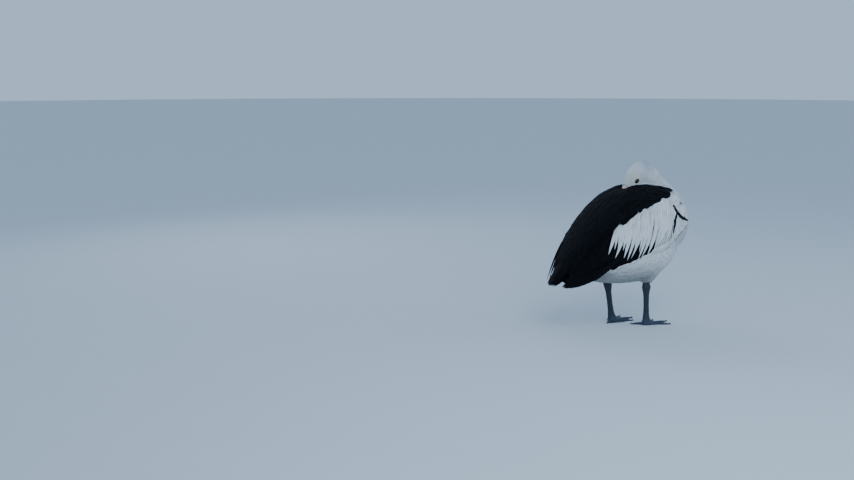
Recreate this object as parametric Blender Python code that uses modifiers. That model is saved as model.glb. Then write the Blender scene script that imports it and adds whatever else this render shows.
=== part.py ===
"""A life-size Australian pelican, standing asleep with its bill laid back under the scapulars.

Metres, +Z up. The bird faces +X and its left side is +Y. The flesh is modelled whole, as lofts
joined by a voxel remesh, and then parted with thin cuts. Bill, wings, scapulars, tail, legs
and feet are closed forms trimmed by what they lie on, each with a small gap.
"""

import math

import bmesh
import bpy
import numpy as np
from mathutils import Matrix, Vector

# Driving dimensions.
WING_CHORD = 0.624  # wrist to the tip of the longest primary
BILL_LENGTH = 0.360  # feather edge to nail, an adult female's
BILL_WIDTH = 0.046  # at the feather edge
HEAD_PITCH = math.radians(42)  # bill below the horizontal
HIP_HALF = 0.064  # from the midline to each leg
STRIDE_HALF = 0.0405  # the right foot stands ahead of the left one
STANCE_BACK = 0.0025  # how far the feet's middle lies behind the bird's own
TARSUS_DEPTH = 0.031  # front to back
TARSUS_WIDTH = 0.018
ANKLE_HEIGHT = 0.162
MIDDLE_TOE = 0.114
WEB_THICKNESS = 0.0032
PAD_HEIGHT = 0.0145  # the knuckle over the toes, where the leg stands
TAIL_LENGTH = 0.150
EYE_RADIUS = 0.0082
EYE_BACK = 0.0347  # from the bill's feather edge
EYE_HALF = 0.0275  # from the midline

# Fit and fineness.
GAP = 0.0007  # between neighbouring solids
VOXEL = 0.0062
BODY_TRIANGLES = 1900
KNIFE = 0.0005  # thickness of a parting cut
COVER_TRIANGLES = 400
COVER_GAP = 0.0045  # between the flesh and the hidden side of the feathers on it

# Places in the bird's own plane, as (x, z).
BILL_ROOT = Vector((-0.028, 0.0, 0.580))
WRIST = Vector((0.186, 0.0, 0.468))
WING_AIM = Vector((-0.905, 0.0, -0.425)).normalized()
WING_RISE = Vector((-WING_AIM.z, 0.0, WING_AIM.x)) * -1
TAIL_ROOT = Vector((-0.262, 0.0, 0.268))
TAIL_AIM = Vector((-0.955, 0.0, -0.297)).normalized()

HEAD_BACK = Vector((math.cos(HEAD_PITCH), 0.0, math.sin(HEAD_PITCH)))
HEAD_UP = Vector((-math.sin(HEAD_PITCH), 0.0, math.cos(HEAD_PITCH)))

# Trunk stations, breast to vent: back line x and z, belly line x and z, half width.
TRUNK = (
    (0.202, 0.395, 0.206, 0.350, 0.030),
    (0.180, 0.440, 0.198, 0.290, 0.080),
    (0.134, 0.468, 0.156, 0.234, 0.114),
    (0.070, 0.480, 0.094, 0.194, 0.136),
    (-0.010, 0.468, 0.018, 0.179, 0.147),
    (-0.095, 0.430, -0.070, 0.178, 0.139),
    (-0.180, 0.372, -0.160, 0.187, 0.113),
    (-0.240, 0.324, -0.228, 0.207, 0.075),
    (-0.288, 0.290, -0.280, 0.236, 0.040),
    (-0.310, 0.274, -0.308, 0.254, 0.014),
)
# Neck stations, breast bulge to nape: x, z, radius in the bird's plane, radius across it.
NECK = (
    (0.110, 0.358, 0.094, 0.108),
    (0.166, 0.402, 0.106, 0.114),
    (0.180, 0.456, 0.092, 0.104),
    (0.168, 0.508, 0.070, 0.082),
    (0.134, 0.556, 0.054, 0.060),
    (0.100, 0.596, 0.049, 0.048),
    (0.078, 0.630, 0.042, 0.039),
    (0.062, 0.656, 0.026, 0.024),
)
# Head stations, bill root to crest: distance back, crown above and throat below the bill's
# line, half width.
HEAD = (
    (-0.006, 0.018, 0.024, 0.0230),
    (0.012, 0.030, 0.033, 0.0290),
    (0.038, 0.042, 0.039, 0.0330),
    (0.070, 0.047, 0.042, 0.0365),
    (0.100, 0.044, 0.038, 0.0350),
    (0.122, 0.034, 0.020, 0.0270),
    (0.138, 0.024, -0.002, 0.0120),
)
# Wing stations from the wrist: share of the chord, rise and fall from the chord line, outer
# face's distance from the midline, thickness, lean-in of the upper edge.
WING = (
    (-0.045, 0.026, 0.018, 0.100, 0.026, 0.008),
    (0.000, 0.062, 0.040, 0.128, 0.060, 0.014),
    (0.075, 0.098, 0.054, 0.148, 0.072, 0.028),
    (0.180, 0.126, 0.068, 0.161, 0.072, 0.040),
    (0.320, 0.146, 0.074, 0.166, 0.064, 0.044),
    (0.470, 0.144, 0.068, 0.158, 0.056, 0.044),
    (0.620, 0.116, 0.056, 0.136, 0.048, 0.038),
    (0.760, 0.078, 0.044, 0.106, 0.038, 0.028),
    (0.885, 0.042, 0.032, 0.078, 0.024, 0.012),
    (1.000, 0.012, 0.014, 0.056, 0.010, 0.002),
)
# Scapular cloak stations, shoulder to rump: x, z of the crest line, half span, drop of its
# edges, thickness, and how far round the arch reaches to each side, in degrees.
CLOAK = (
    (0.186, 0.530, 0.094, 0.014, 0.030, 82),
    (0.142, 0.570, 0.122, 0.046, 0.100, 82),
    (0.070, 0.592, 0.144, 0.078, 0.130, 82),
    (-0.006, 0.592, 0.154, 0.098, 0.140, 79),
    (-0.092, 0.567, 0.153, 0.105, 0.150, 74),
    (-0.175, 0.515, 0.140, 0.101, 0.150, 69),
    (-0.248, 0.447, 0.118, 0.088, 0.120, 67),
    (-0.312, 0.372, 0.094, 0.078, 0.090, 70),
    (-0.358, 0.292, 0.058, 0.042, 0.040, 76),
)
# Upper mandible stations as shares of the bill's length: half width, rise, fall.
BILL_UPPER = (
    (-0.03, 0.50, 0.0130, 0.0020),
    (0.06, 0.48, 0.0125, 0.0020),
    (0.30, 0.34, 0.0085, 0.0018),
    (0.60, 0.27, 0.0062, 0.0016),
    (0.85, 0.33, 0.0060, 0.0018),
    (0.95, 0.29, 0.0056, 0.0030),
    (1.00, 0.10, 0.0030, 0.0090),
)
# Lower mandible and folded pouch: half width, fall below the gape line.
BILL_LOWER = (
    (-0.03, 0.42, 0.0300),
    (0.08, 0.44, 0.0330),
    (0.30, 0.32, 0.0270),
    (0.60, 0.24, 0.0150),
    (0.85, 0.27, 0.0090),
    (0.97, 0.15, 0.0050),
)
# Toes: name, angle outwards from the middle one, length as a share of it.
TOES = (("outer", -30, 0.90), ("middle", 0, 1.0), ("inner", 31, 0.80), ("hind", 146, 0.54))

COLOURS = {
    "white": ((0.78, 0.80, 0.82), 0.75),
    "black": ((0.012, 0.012, 0.015), 0.6),
    "bill": ((0.80, 0.62, 0.60), 0.45),
    "slate": ((0.10, 0.13, 0.18), 0.55),
    "eye": ((0.03, 0.018, 0.01), 0.1),
}


def clear_scene():
    for obj in list(bpy.data.objects):
        bpy.data.objects.remove(obj, do_unlink=True)


def material(name, finish):
    colour, roughness = COLOURS[finish]
    made = bpy.data.materials.new(name)
    made.use_nodes = True
    shader = made.node_tree.nodes["Principled BSDF"]
    shader.inputs["Base Color"].default_value = (*colour, 1.0)
    shader.inputs["Roughness"].default_value = roughness
    shader.inputs["Metallic"].default_value = 0.0
    return made


def curve_through(stations, count):
    """The stations' rows read from a Catmull-Rom curve at even steps."""
    rows = np.array(stations, float)
    rows = np.vstack([2 * rows[0] - rows[1], rows, 2 * rows[-1] - rows[-2]])
    made = []
    for at in np.linspace(0, len(stations) - 1, count):
        i = min(int(at), len(stations) - 2)
        t = at - i
        a, b, c, d = rows[i : i + 4]
        made.append(
            0.5 * (2 * b + (c - a) * t + (2 * a - 5 * b + 4 * c - d) * t * t
                   + (3 * b - a - 3 * c + d) * t ** 3)
        )
    return made


def link(name, mesh, collection):
    obj = bpy.data.objects.new(name, mesh)
    collection.objects.link(obj)
    return obj


def loft(name, rings, collection, hub=None):
    """A closed form through rings of points, with a fan over each end, from the hub if given."""
    form = bmesh.new()
    loops = [[form.verts.new(point) for point in ring] for ring in rings]
    for near, far in zip(loops, loops[1:]):
        for i in range(len(near)):
            j = (i + 1) % len(near)
            form.faces.new((near[i], near[j], far[j], far[i]))
    for ring, loop in ((rings[0], loops[0]), (rings[-1], loops[-1])):
        middle = sum((Vector(p) for p in ring), Vector()) / len(ring)
        centre = form.verts.new(Vector((*hub.xy, middle.z)) if hub else middle)
        for i in range(len(loop)):
            form.faces.new((loop[i], loop[(i + 1) % len(loop)], centre))
    bmesh.ops.triangulate(form, faces=form.faces)
    bmesh.ops.recalc_face_normals(form, faces=form.faces)
    mesh = bpy.data.meshes.new(name)
    form.to_mesh(mesh)
    form.free()
    return link(name, mesh, collection)


def applied(obj):
    """Replaces the object's mesh by its evaluated one and drops the modifiers."""
    bpy.context.view_layer.update()
    graph = bpy.context.evaluated_depsgraph_get()
    mesh = bpy.data.meshes.new_from_object(obj.evaluated_get(graph), depsgraph=graph)
    obj.modifiers.clear()
    obj.data = mesh
    return obj


def remeshed(obj, voxel, smoothing, triangles):
    """One smooth closed skin round everything in the object, thinned to a triangle count."""
    skin = obj.modifiers.new("Remesh", "REMESH")
    skin.mode = "VOXEL"
    skin.voxel_size = voxel
    relax = obj.modifiers.new("Smooth", "SMOOTH")
    relax.factor = 0.5
    relax.iterations = smoothing
    return thinned(applied(obj), triangles)


def thinned(obj, triangles):
    thin = obj.modifiers.new("Decimate", "DECIMATE")
    thin.ratio = triangles / sum(len(face.vertices) - 2 for face in obj.data.polygons)
    thin.use_collapse_triangulate = True
    return applied(obj)


def joined(name, objects, collection):
    form = bmesh.new()
    for obj in objects:
        form.from_mesh(obj.data)
        bpy.data.objects.remove(obj)
    mesh = bpy.data.meshes.new(name)
    form.to_mesh(mesh)
    form.free()
    return link(name, mesh, collection)


def boolean(obj, other, operation):
    cut = obj.modifiers.new("Boolean", "BOOLEAN")
    cut.object = other
    cut.operation = operation
    cut.solver = "MANIFOLD"
    return applied(obj)


def grown(obj, gap, collection):
    """A copy with its surface moved out by the gap."""
    return swollen(link("grown", obj.data.copy(), collection), gap)


def swollen(obj, gap):
    move = obj.modifiers.new("Displace", "DISPLACE")
    move.mid_level = 0.0
    move.strength = gap
    return applied(obj)


def coarse_cover(obj, triangles, gap, collection):
    """A few-sided form just outside the object, to trim the hidden sides of what lies on it."""
    return swollen(thinned(link("cover", obj.data.copy(), collection), triangles), gap)


def largest_island(obj):
    """Keeps the biggest connected piece and drops the crumbs."""
    keep = max(islands(obj.data), key=lambda mesh: volume(mesh))
    obj.data = keep
    return obj


def trim(obj, neighbours, collection):
    """Cuts the neighbours away from the object, each with the gap."""
    for neighbour in neighbours:
        cutter = grown(neighbour, GAP, collection)
        boolean(obj, cutter, "DIFFERENCE")
        bpy.data.objects.remove(cutter)
    return largest_island(obj)


def islands(mesh):
    """The connected pieces of a mesh, each as its own mesh."""
    form = bmesh.new()
    form.from_mesh(mesh)
    form.verts.ensure_lookup_table()
    seen, found = set(), []
    for start in form.verts:
        if start in seen:
            continue
        group, reach = {start}, [start]
        while reach:
            for edge in reach.pop().link_edges:
                for vert in edge.verts:
                    if vert not in group:
                        group.add(vert)
                        reach.append(vert)
        seen |= group
        found.append({vert.index for vert in group})
    made = []
    for group in found:
        piece = form.copy()
        piece.verts.ensure_lookup_table()
        extra = [vert for vert in piece.verts if vert.index not in group]
        bmesh.ops.delete(piece, geom=extra, context="VERTS")
        part = bpy.data.meshes.new(mesh.name)
        if piece.faces:
            piece.to_mesh(part)
            made.append(part)
        piece.free()
    form.free()
    return made


def volume(mesh):
    form = bmesh.new()
    form.from_mesh(mesh)
    size = form.calc_volume()
    form.free()
    return size


def ellipse(centre, up, side, rise, fall, half_width, points):
    """A ring with its own height above and below the centre."""
    ring = []
    for i in range(points):
        turn = 2 * math.pi * i / points
        height = math.cos(turn) * (rise if math.cos(turn) > 0 else fall)
        ring.append(centre + up * height + side * (math.sin(turn) * half_width))
    return ring


ACROSS = Vector((0.0, 1.0, 0.0))


def trunk_form(collection):
    rings = []
    for back_x, back_z, belly_x, belly_z, half_width in curve_through(TRUNK, 19):
        back, belly = Vector((back_x, 0, back_z)), Vector((belly_x, 0, belly_z))
        centre = back.lerp(belly, 0.54)
        up = (back - belly).normalized()
        rise, fall = (back - centre).length, (belly - centre).length
        rings.append(ellipse(centre, up, ACROSS, rise, fall, half_width, 24))
    return loft("trunk", rings, collection)


def neck_form(collection):
    rows = curve_through(NECK, 16)
    rings = []
    for i, (x, z, in_plane, across) in enumerate(rows):
        before, after = rows[max(i - 1, 0)], rows[min(i + 1, len(rows) - 1)]
        along = Vector((after[0] - before[0], 0, after[1] - before[1])).normalized()
        outward = Vector((along.z, 0, -along.x))
        rings.append(
            ellipse(Vector((x, 0, z)), outward, ACROSS, in_plane, in_plane, across, 20)
        )
    return loft("neck", rings, collection)


def head_form(collection):
    rings = []
    for back, crown, throat, half_width in curve_through(HEAD, 14):
        middle = (crown - throat) / 2
        centre = BILL_ROOT + HEAD_BACK * back + HEAD_UP * middle
        half = (crown + throat) / 2
        rings.append(ellipse(centre, HEAD_UP, ACROSS, half, half, half_width, 18))
    return loft("head", rings, collection)


def leg_place(side):
    """Where a leg stands: side is 1 on the left, -1 on the right."""
    return Vector((-STRIDE_HALF * side - STANCE_BACK, HIP_HALF * side, 0.0))


def ankle_place(side):
    """The left ankle hangs back a little further than the right one."""
    return leg_place(side) + Vector((-0.004 - 0.022 * (side > 0), 0, ANKLE_HEIGHT))


def thigh_form(side, collection):
    """The feathered leg above the ankle, its upper end well inside the belly."""
    ankle = ankle_place(side)
    top = ankle + Vector((0.030, 0.004 * side, 0.100))
    rings = []
    for share, depth, width in ((0.0, 0.019, 0.016), (0.12, 0.024, 0.020), (0.3, 0.033, 0.027),
                                (0.6, 0.050, 0.036), (1.0, 0.060, 0.042)):
        centre = (ankle + Vector((0, 0, 0.010))).lerp(top, share)
        rings.append(ellipse(centre, Vector((1, 0, 0)), ACROSS, depth, depth, width, 16))
    return loft("thigh", rings, collection)


def eye_form(name, side, collection):
    """side is -1 for the eye on the bird's right, which is the turned head's left eye."""
    centre = BILL_ROOT + HEAD_BACK * EYE_BACK + ACROSS * (EYE_HALF * side)
    form = bmesh.new()
    bmesh.ops.create_uvsphere(form, u_segments=10, v_segments=7, radius=EYE_RADIUS)
    bmesh.ops.translate(form, verts=form.verts, vec=centre)
    mesh = bpy.data.meshes.new(name)
    form.to_mesh(mesh)
    form.free()
    return link(name, mesh, collection)


def bill_ring(share, half_width, rise, fall):
    centre = BILL_ROOT - HEAD_BACK * (share * BILL_LENGTH)
    return ellipse(centre, HEAD_UP, ACROSS, rise, fall, half_width * BILL_WIDTH, 12)


def upper_bill_form(collection):
    rings = [bill_ring(*row) for row in curve_through(BILL_UPPER, 11)]
    return loft("bill_upper", rings, collection)


def lower_bill_form(collection):
    """The two jaw rods and the skin pouch slung between them, closed under the upper bill."""
    rings = [bill_ring(share, half, 0.0005, fall) for share, half, fall in
             curve_through(BILL_LOWER, 9)]
    return loft("bill_lower", rings, collection)


def wing_ring(row, side, points=8):
    """Outer face from lower to upper edge, then the inner face back."""
    along, rise, fall, out, thickness, lean = row
    chord = WRIST + WING_AIM * (along * WING_CHORD)
    outer, inner = [], []
    for i in range(points):
        t = 2 * i / (points - 1) - 1
        height = (rise - fall) / 2 + (rise + fall) / 2 * t
        tuck = lean if t > 0 else lean * 0.45
        face = out - tuck * t * t
        wall = thickness * math.sqrt(1 - t * t) + 0.0030
        foot = chord + WING_RISE * height
        outer.append(foot + ACROSS * (side * face))
        inner.append(foot + ACROSS * (side * max(face - wall, 0.004)))
    return outer + inner[::-1]


def wing_form(name, side, collection):
    rings = [wing_ring(row, side) for row in curve_through(WING, 15)]
    return loft(name, rings, collection)


def cloak_form(collection):
    """The scapulars of both sides as one arch over the back, parted later down the middle."""
    rows = curve_through(CLOAK, 11)
    rings = []
    for x, z, span, drop, thickness, reach in rows:
        outer, inner = [], []
        for i in range(11):
            turn = math.radians(reach * (i / 5 - 1))
            fall = drop * (1 - math.cos(turn)) ** 1.15
            wall = thickness * math.cos(turn) ** 0.6 + 0.0035
            outer.append(Vector((x, span * math.sin(turn), z - fall)))
            inner.append(Vector((x + 0.25 * wall, (span - 0.6 * wall) * math.sin(turn),
                                 z - fall - wall)))
        rings.append(outer + inner[::-1])
    return loft("cloak", rings, collection)


def tail_form(collection):
    """A short blunt fan, thin at its edges."""
    rings = []
    for share, half_width, half_depth in ((0.0, 0.030, 0.014), (0.25, 0.042, 0.012),
                                          (0.55, 0.055, 0.009), (0.85, 0.062, 0.006),
                                          (1.0, 0.050, 0.003)):
        centre = TAIL_ROOT + TAIL_AIM * (share * TAIL_LENGTH)
        up = Vector((-TAIL_AIM.z, 0, TAIL_AIM.x)) * -1
        ring = ellipse(centre, up, ACROSS, half_depth, half_depth, half_width, 12)
        for point in ring:
            bow = (point.y / 0.062) ** 2
            point += TAIL_AIM * (-0.018 * bow * share) + up * (-0.012 * bow)
        rings.append(ring)
    return loft("tail", rings, collection)


def leg_form(name, side, collection):
    """Ankle, tarsus and the spread knuckle over the toes."""
    ankle, foot = ankle_place(side), leg_place(side) + Vector((0, 0, PAD_HEIGHT + GAP))
    rings = []
    for share, depth, width in ((-0.14, 1.02, 1.15), (-0.06, 1.22, 1.55), (0.02, 1.34, 1.75),
                                (0.10, 1.16, 1.45), (0.24, 0.94, 1.0), (0.55, 0.88, 0.92),
                                (0.80, 0.98, 1.0), (0.93, 1.16, 1.28), (1.0, 1.18, 1.34)):
        centre = ankle.lerp(foot, share)
        rings.append(ellipse(centre, Vector((1, 0, 0)), ACROSS, depth * TARSUS_DEPTH / 2,
                             depth * TARSUS_DEPTH / 2, width * TARSUS_WIDTH / 2, 10))
    return loft(name, rings, collection)


def toe_aim(angle, side):
    turn = math.radians(angle) * -side
    return Vector((math.cos(turn), math.sin(turn), 0.0))


def toe_form(side, angle, length, collection):
    """A toe with two knuckles and a curved claw, lying on the floor."""
    start, aim = leg_place(side), toe_aim(angle, side)
    sideways = Vector((-aim.y, aim.x, 0.0))
    rings = []
    for share, radius in ((-0.06, 0.0068), (0.12, 0.0074), (0.32, 0.0058), (0.70, 0.0054),
                          (0.86, 0.0040), (1.0, 0.0014)):
        centre = start + aim * (share * length) + Vector((0, 0, radius * 0.78))
        rings.append(ellipse(centre, Vector((0, 0, 1)), sideways, radius, radius, radius, 7))
    return loft("toe", rings, collection)


def web_form(side, collection):
    """The skin that joins all four toes, hollowed between their tips."""
    start = leg_place(side)
    edge = [start - toe_aim(50, side) * 0.012]
    for (_, angle, share), (_, later, next_share) in zip(TOES, TOES[1:]):
        reach, next_reach = share * MIDDLE_TOE * 0.86, next_share * MIDDLE_TOE * 0.86
        for k in range(4):
            t = k / 4
            hollow = 1 - (0.16 if later < 90 else 0.38) * math.sin(math.pi * t)
            radius = (reach * (1 - t) + next_reach * t) * hollow
            edge.append(start + toe_aim(angle + (later - angle) * t, side) * radius)
    edge.append(start + toe_aim(TOES[-1][1], side) * (TOES[-1][2] * MIDDLE_TOE * 0.86))
    lower = [Vector((p.x, p.y, 0.0)) for p in edge]
    upper = [Vector((p.x, p.y, WEB_THICKNESS)) for p in edge]
    return loft("web", [lower, upper], collection, hub=start)


def foot_form(name, side, collection):
    foot = web_form(side, collection)
    foot.name = name
    for _, angle, share in TOES:
        toe = toe_form(side, angle, share * MIDDLE_TOE, collection)
        boolean(foot, toe, "UNION")
        bpy.data.objects.remove(toe)
    pad = loft("pad", [ellipse(leg_place(side) + Vector((0.004, 0, z)), Vector((1, 0, 0)), ACROSS,
                               0.0175 * k, 0.0175 * k, 0.0125 * k, 10)
                       for z, k in ((-0.001, 1.06), (0.008, 1.02), (PAD_HEIGHT + 0.0004, 0.90))], collection)
    boolean(foot, pad, "UNION")
    bpy.data.objects.remove(pad)
    floor = box("floor", (-0.3, -0.3, -0.05), (0.3, 0.3, 0.0004), collection)
    boolean(foot, floor, "DIFFERENCE")
    bpy.data.objects.remove(floor)
    foot.data.transform(Matrix.Translation((0, 0, -0.0004)))
    return foot


def box(name, low, high, collection):
    form = bmesh.new()
    bmesh.ops.create_cube(form, size=1.0)
    for vert in form.verts:
        vert.co = Vector([low[i] if vert.co[i] < 0 else high[i] for i in range(3)])
    mesh = bpy.data.meshes.new(name)
    form.to_mesh(mesh)
    form.free()
    return link(name, mesh, collection)


def knife(centre, along, half_height, collection):
    """A thin upright blade, square to the midline, that parts the body where it passes."""
    half = (0.19, half_height, KNIFE / 2)
    blade = box("knife", [-h for h in half], half, collection)
    aim = Vector(along).normalized()
    turn = Matrix((ACROSS, aim.cross(ACROSS), aim)).transposed().to_4x4()
    blade.data.transform(Matrix.Translation(centre) @ turn)
    return blade


def part(obj, cuts, places, collection):
    """Parts the object with blades, and names each piece by the place nearest its middle."""
    for centre, along, reach in cuts:
        blade = knife(centre, along, reach, collection)
        boolean(obj, blade, "DIFFERENCE")
        bpy.data.objects.remove(blade)
    pieces = sorted(islands(obj.data), key=volume, reverse=True)[: len(places)]
    bpy.data.objects.remove(obj)
    made = {}
    for mesh in pieces:
        middle = sum((v.co for v in mesh.vertices), Vector()) / len(mesh.vertices)
        name = min((n for n in places if n not in made),
                   key=lambda n: (Vector(places[n]) - middle).length)
        made[name] = link(name, mesh, collection)
    return made


def flesh(collection):
    """Head, neck, trunk and thighs as one smooth form."""
    forms = [trunk_form(collection), neck_form(collection), head_form(collection),
             thigh_form(1, collection), thigh_form(-1, collection)]
    whole = joined("flesh", forms, collection)
    return remeshed(whole, VOXEL, 7, BODY_TRIANGLES)


def part_flesh(whole, collection):
    """Cuts at the root of the neck, twice along it, and at the nape."""
    cuts = [
        (Vector((0.150, 0, 0.350)), (0.950, 0, 0.312), 0.150),
        (Vector((0.178, 0, 0.480)), (-0.20, 0, 1.0), 0.110),
        (Vector((0.146, 0, 0.544)), (-0.58, 0, 0.82), 0.078),
        (Vector((0.095, 0, 0.609)), (-0.62, 0, 0.78), 0.070),
    ]
    places = {"trunk": (-0.05, 0, 0.30), "neck_lower": (0.20, 0, 0.38),
              "neck_middle": (0.17, 0, 0.52), "neck_upper": (0.11, 0, 0.59),
              "head": (0.04, 0, 0.625)}
    return part(whole, cuts, places, collection)


def settle(objects):
    """Puts the middle of the model's floor plan at the origin, its soles at z 0."""
    corners = np.array([v.co for obj in objects for v in obj.data.vertices])
    low, high = corners.min(axis=0), corners.max(axis=0)
    shift = Vector((-(low[0] + high[0]) / 2, -(low[1] + high[1]) / 2, -low[2]))
    for obj in objects:
        obj.data.transform(Matrix.Translation(shift))


def finish(obj, colour):
    obj.data.materials.clear()
    obj.data.materials.append(material(obj.name, colour))
    obj.data.shade_smooth()
    obj.data.set_sharp_from_angle(angle=math.radians(50))


def main():
    clear_scene()
    bird = bpy.data.collections.new("pelican")
    bpy.context.scene.collection.children.link(bird)

    whole = flesh(bird)
    eyes = [eye_form("eye_left", -1, bird), eye_form("eye_right", 1, bird)]
    limbs = []
    for side, name in ((1, "left"), (-1, "right")):
        limbs += [leg_form("leg_" + name, side, bird), foot_form("foot_" + name, side, bird)]
    trim(whole, eyes + limbs, bird)
    cover = coarse_cover(whole, COVER_TRIANGLES, COVER_GAP, bird)

    bill = [upper_bill_form(bird), lower_bill_form(bird)]
    closed_bill = [link("closed", half.data.copy(), bird) for half in bill]
    trim(bill[0], [whole], bird)
    trim(bill[1], [whole, closed_bill[0]], bird)
    wings = [wing_form("wing_left", 1, bird), wing_form("wing_right", -1, bird)]
    full_wings = [link("full", wing.data.copy(), bird) for wing in wings]
    for wing in wings:
        trim(wing, [cover, whole], bird)
    tail = tail_form(bird)
    cloak = trim(cloak_form(bird), [cover, whole, *closed_bill, *full_wings, tail], bird)
    trim(tail, [cover, whole, *full_wings], bird)
    for spare in (cover, *closed_bill, *full_wings):
        bpy.data.objects.remove(spare)

    made = part_flesh(whole, bird)
    hand = WRIST + WING_AIM * (0.68 * WING_CHORD)
    for wing, side, name in zip(wings, (1, -1), ("left", "right")):
        made |= part(wing, [(hand + ACROSS * (0.1 * side), WING_AIM, 0.16)],
                     {"wing_" + name: (-0.02, 0.15 * side, 0.37),
                      "primaries_" + name: (-0.30, 0.08 * side, 0.24)}, bird)
    middle = box("knife", (-0.5, -KNIFE / 2, 0.1), (0.4, KNIFE / 2, 0.7), bird)
    boolean(cloak, middle, "DIFFERENCE")
    bpy.data.objects.remove(middle)
    made |= part(cloak, [], {"scapulars_left": (-0.1, 0.08, 0.5),
                             "scapulars_right": (-0.1, -0.08, 0.5)}, bird)
    for obj in [*eyes, *bill, tail, *limbs]:
        made[obj.name] = obj

    dark = ("primaries", "scapulars", "tail")
    for name, obj in made.items():
        colour = "black" if name.startswith(dark) else "white"
        colour = "bill" if name.startswith("bill") else colour
        colour = "slate" if name.startswith(("leg", "foot")) else colour
        finish(obj, "eye" if name.startswith("eye") else colour)
    settle(list(made.values()))


main()
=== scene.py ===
"""A life-size Australian pelican asleep on its feet, its bill laid back under the scapulars.

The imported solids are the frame. One skin stands for all the flesh and lies inside the solids by
the depth of the coat. Feathers are planted on the skin and laid over it: each is a shaft, a
short line of points that follows the lie of the coat, and a Geometry Nodes tree clothes the
shafts in thin vanes. Bill, eyes, lids, legs and claws are pieces of their own.
"""

import math

import bmesh
import bpy
import numpy as np
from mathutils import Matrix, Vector
from mathutils.bvhtree import BVHTree
from mathutils.kdtree import KDTree


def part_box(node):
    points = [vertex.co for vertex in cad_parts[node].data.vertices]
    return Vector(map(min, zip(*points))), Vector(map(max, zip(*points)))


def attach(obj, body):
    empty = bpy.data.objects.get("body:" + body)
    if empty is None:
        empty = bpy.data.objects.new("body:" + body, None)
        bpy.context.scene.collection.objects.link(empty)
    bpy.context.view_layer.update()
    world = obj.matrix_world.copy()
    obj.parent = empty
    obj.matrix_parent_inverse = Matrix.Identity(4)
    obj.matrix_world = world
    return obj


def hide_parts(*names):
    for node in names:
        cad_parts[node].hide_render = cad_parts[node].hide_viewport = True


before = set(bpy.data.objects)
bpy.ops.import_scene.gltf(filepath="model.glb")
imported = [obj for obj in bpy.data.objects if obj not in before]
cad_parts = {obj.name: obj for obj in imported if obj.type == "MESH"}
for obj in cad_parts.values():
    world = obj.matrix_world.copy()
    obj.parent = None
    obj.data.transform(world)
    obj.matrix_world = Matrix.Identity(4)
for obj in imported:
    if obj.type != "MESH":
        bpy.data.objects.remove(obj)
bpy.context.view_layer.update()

# ---------------------------------------------------------------- places and sizes, in metres
EYES_AT = Vector((-0.0022, 0.0, 0.6032))  # the eyes' middle in the bird's own plane
EYE_RADIUS = 0.0082
LID_MARGIN = (0.0115, 0.0096)  # the dark margin's reach along the head and across it
LID_REACH = (0.0130, 0.0110)  # and that of the bare ring outside it
LID_CREASE = 0.0002
HEAD_PITCH = math.radians(42)
HEAD_BACK = Vector((math.cos(HEAD_PITCH), 0.0, math.sin(HEAD_PITCH)))
HEAD_UP = Vector((-math.sin(HEAD_PITCH), 0.0, math.cos(HEAD_PITCH)))
BILL_ROOT = Vector((-0.028, 0.0, 0.580))
BILL_LENGTH = 0.360
BILL_WIDTH = 0.046
ACROSS = Vector((0.0, 1.0, 0.0))
FLESH = (
    "head", "neck_upper", "neck_middle", "neck_lower", "trunk", "wing_left", "wing_right",
    "primaries_left", "primaries_right", "scapulars_left", "scapulars_right", "tail",
)
BODY = (*FLESH, "bill_upper", "bill_lower")  # what the skin is wrapped over
SKIN_VOXEL = 0.0036
THIN_SHARE = 0.36  # the most of a thin place that the coat may take
THIN_REACH = 0.06  # how far in a place counts as thin
SOFTENING = 16  # rounds of evening out the skin's normals
CROWDING = 5  # trial roots for each one that the spacing leaves room for
# How deep the coat is over each kind of node.
COAT_DEPTH = {
    "head": 0.0030, "neck": 0.0055, "trunk": 0.0085, "wing": 0.0080, "scapulars": 0.0095,
    "primaries": 0.0060, "tail": 0.0045, "bill": 0.0025,
}
KINDS = tuple(COAT_DEPTH)
PATCH = 0.003  # each feather's patch on the skin's unwrap


def middle_of(node):
    return sum(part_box(node), Vector()) / 2


# The bird's own frame has its origin here; its left is towards y.
HOME = (middle_of("eye_left") + middle_of("eye_right")) / 2 - EYES_AT
HOME_ROW = np.array(HOME)
SIDES = {"left": 1, "right": -1}


def unit(rows):
    size = np.linalg.norm(rows, axis=-1, keepdims=True)
    return rows / np.maximum(size, 1e-9)


def smooth_step(low, high, value):
    t = np.clip((value - low) / (high - low), 0.0, 1.0)
    return t * t * (3 - 2 * t)


def mix(a, b, share):
    """Rows of colours or places from a to b."""
    share = np.asarray(share)[..., None]
    return np.asarray(a) * (1 - share) + np.asarray(b) * share


# ---------------------------------------------------------------- meshes
def link(name, data):
    obj = bpy.data.objects.new(name, data)
    bpy.context.scene.collection.objects.link(obj)
    return obj


def applied(obj):
    """Replaces the object's mesh by its evaluated one and drops the modifiers."""
    bpy.context.view_layer.update()
    graph = bpy.context.evaluated_depsgraph_get()
    mesh = bpy.data.meshes.new_from_object(obj.evaluated_get(graph), depsgraph=graph)
    obj.modifiers.clear()
    spare, obj.data = obj.data, mesh
    bpy.data.meshes.remove(spare)
    return obj


def formed(name, form, smooth=True):
    """The form as a new object. A smooth one is closed, and its faces are turned outwards."""
    mesh = bpy.data.meshes.new(name)
    if smooth:
        bmesh.ops.recalc_face_normals(form, faces=form.faces)
    form.to_mesh(mesh)
    form.free()
    if smooth:
        mesh.shade_smooth()
    return link(name, mesh)


def circle(count):
    """Even turns round a circle."""
    return np.linspace(0, 2 * math.pi, count, endpoint=False)


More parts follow.
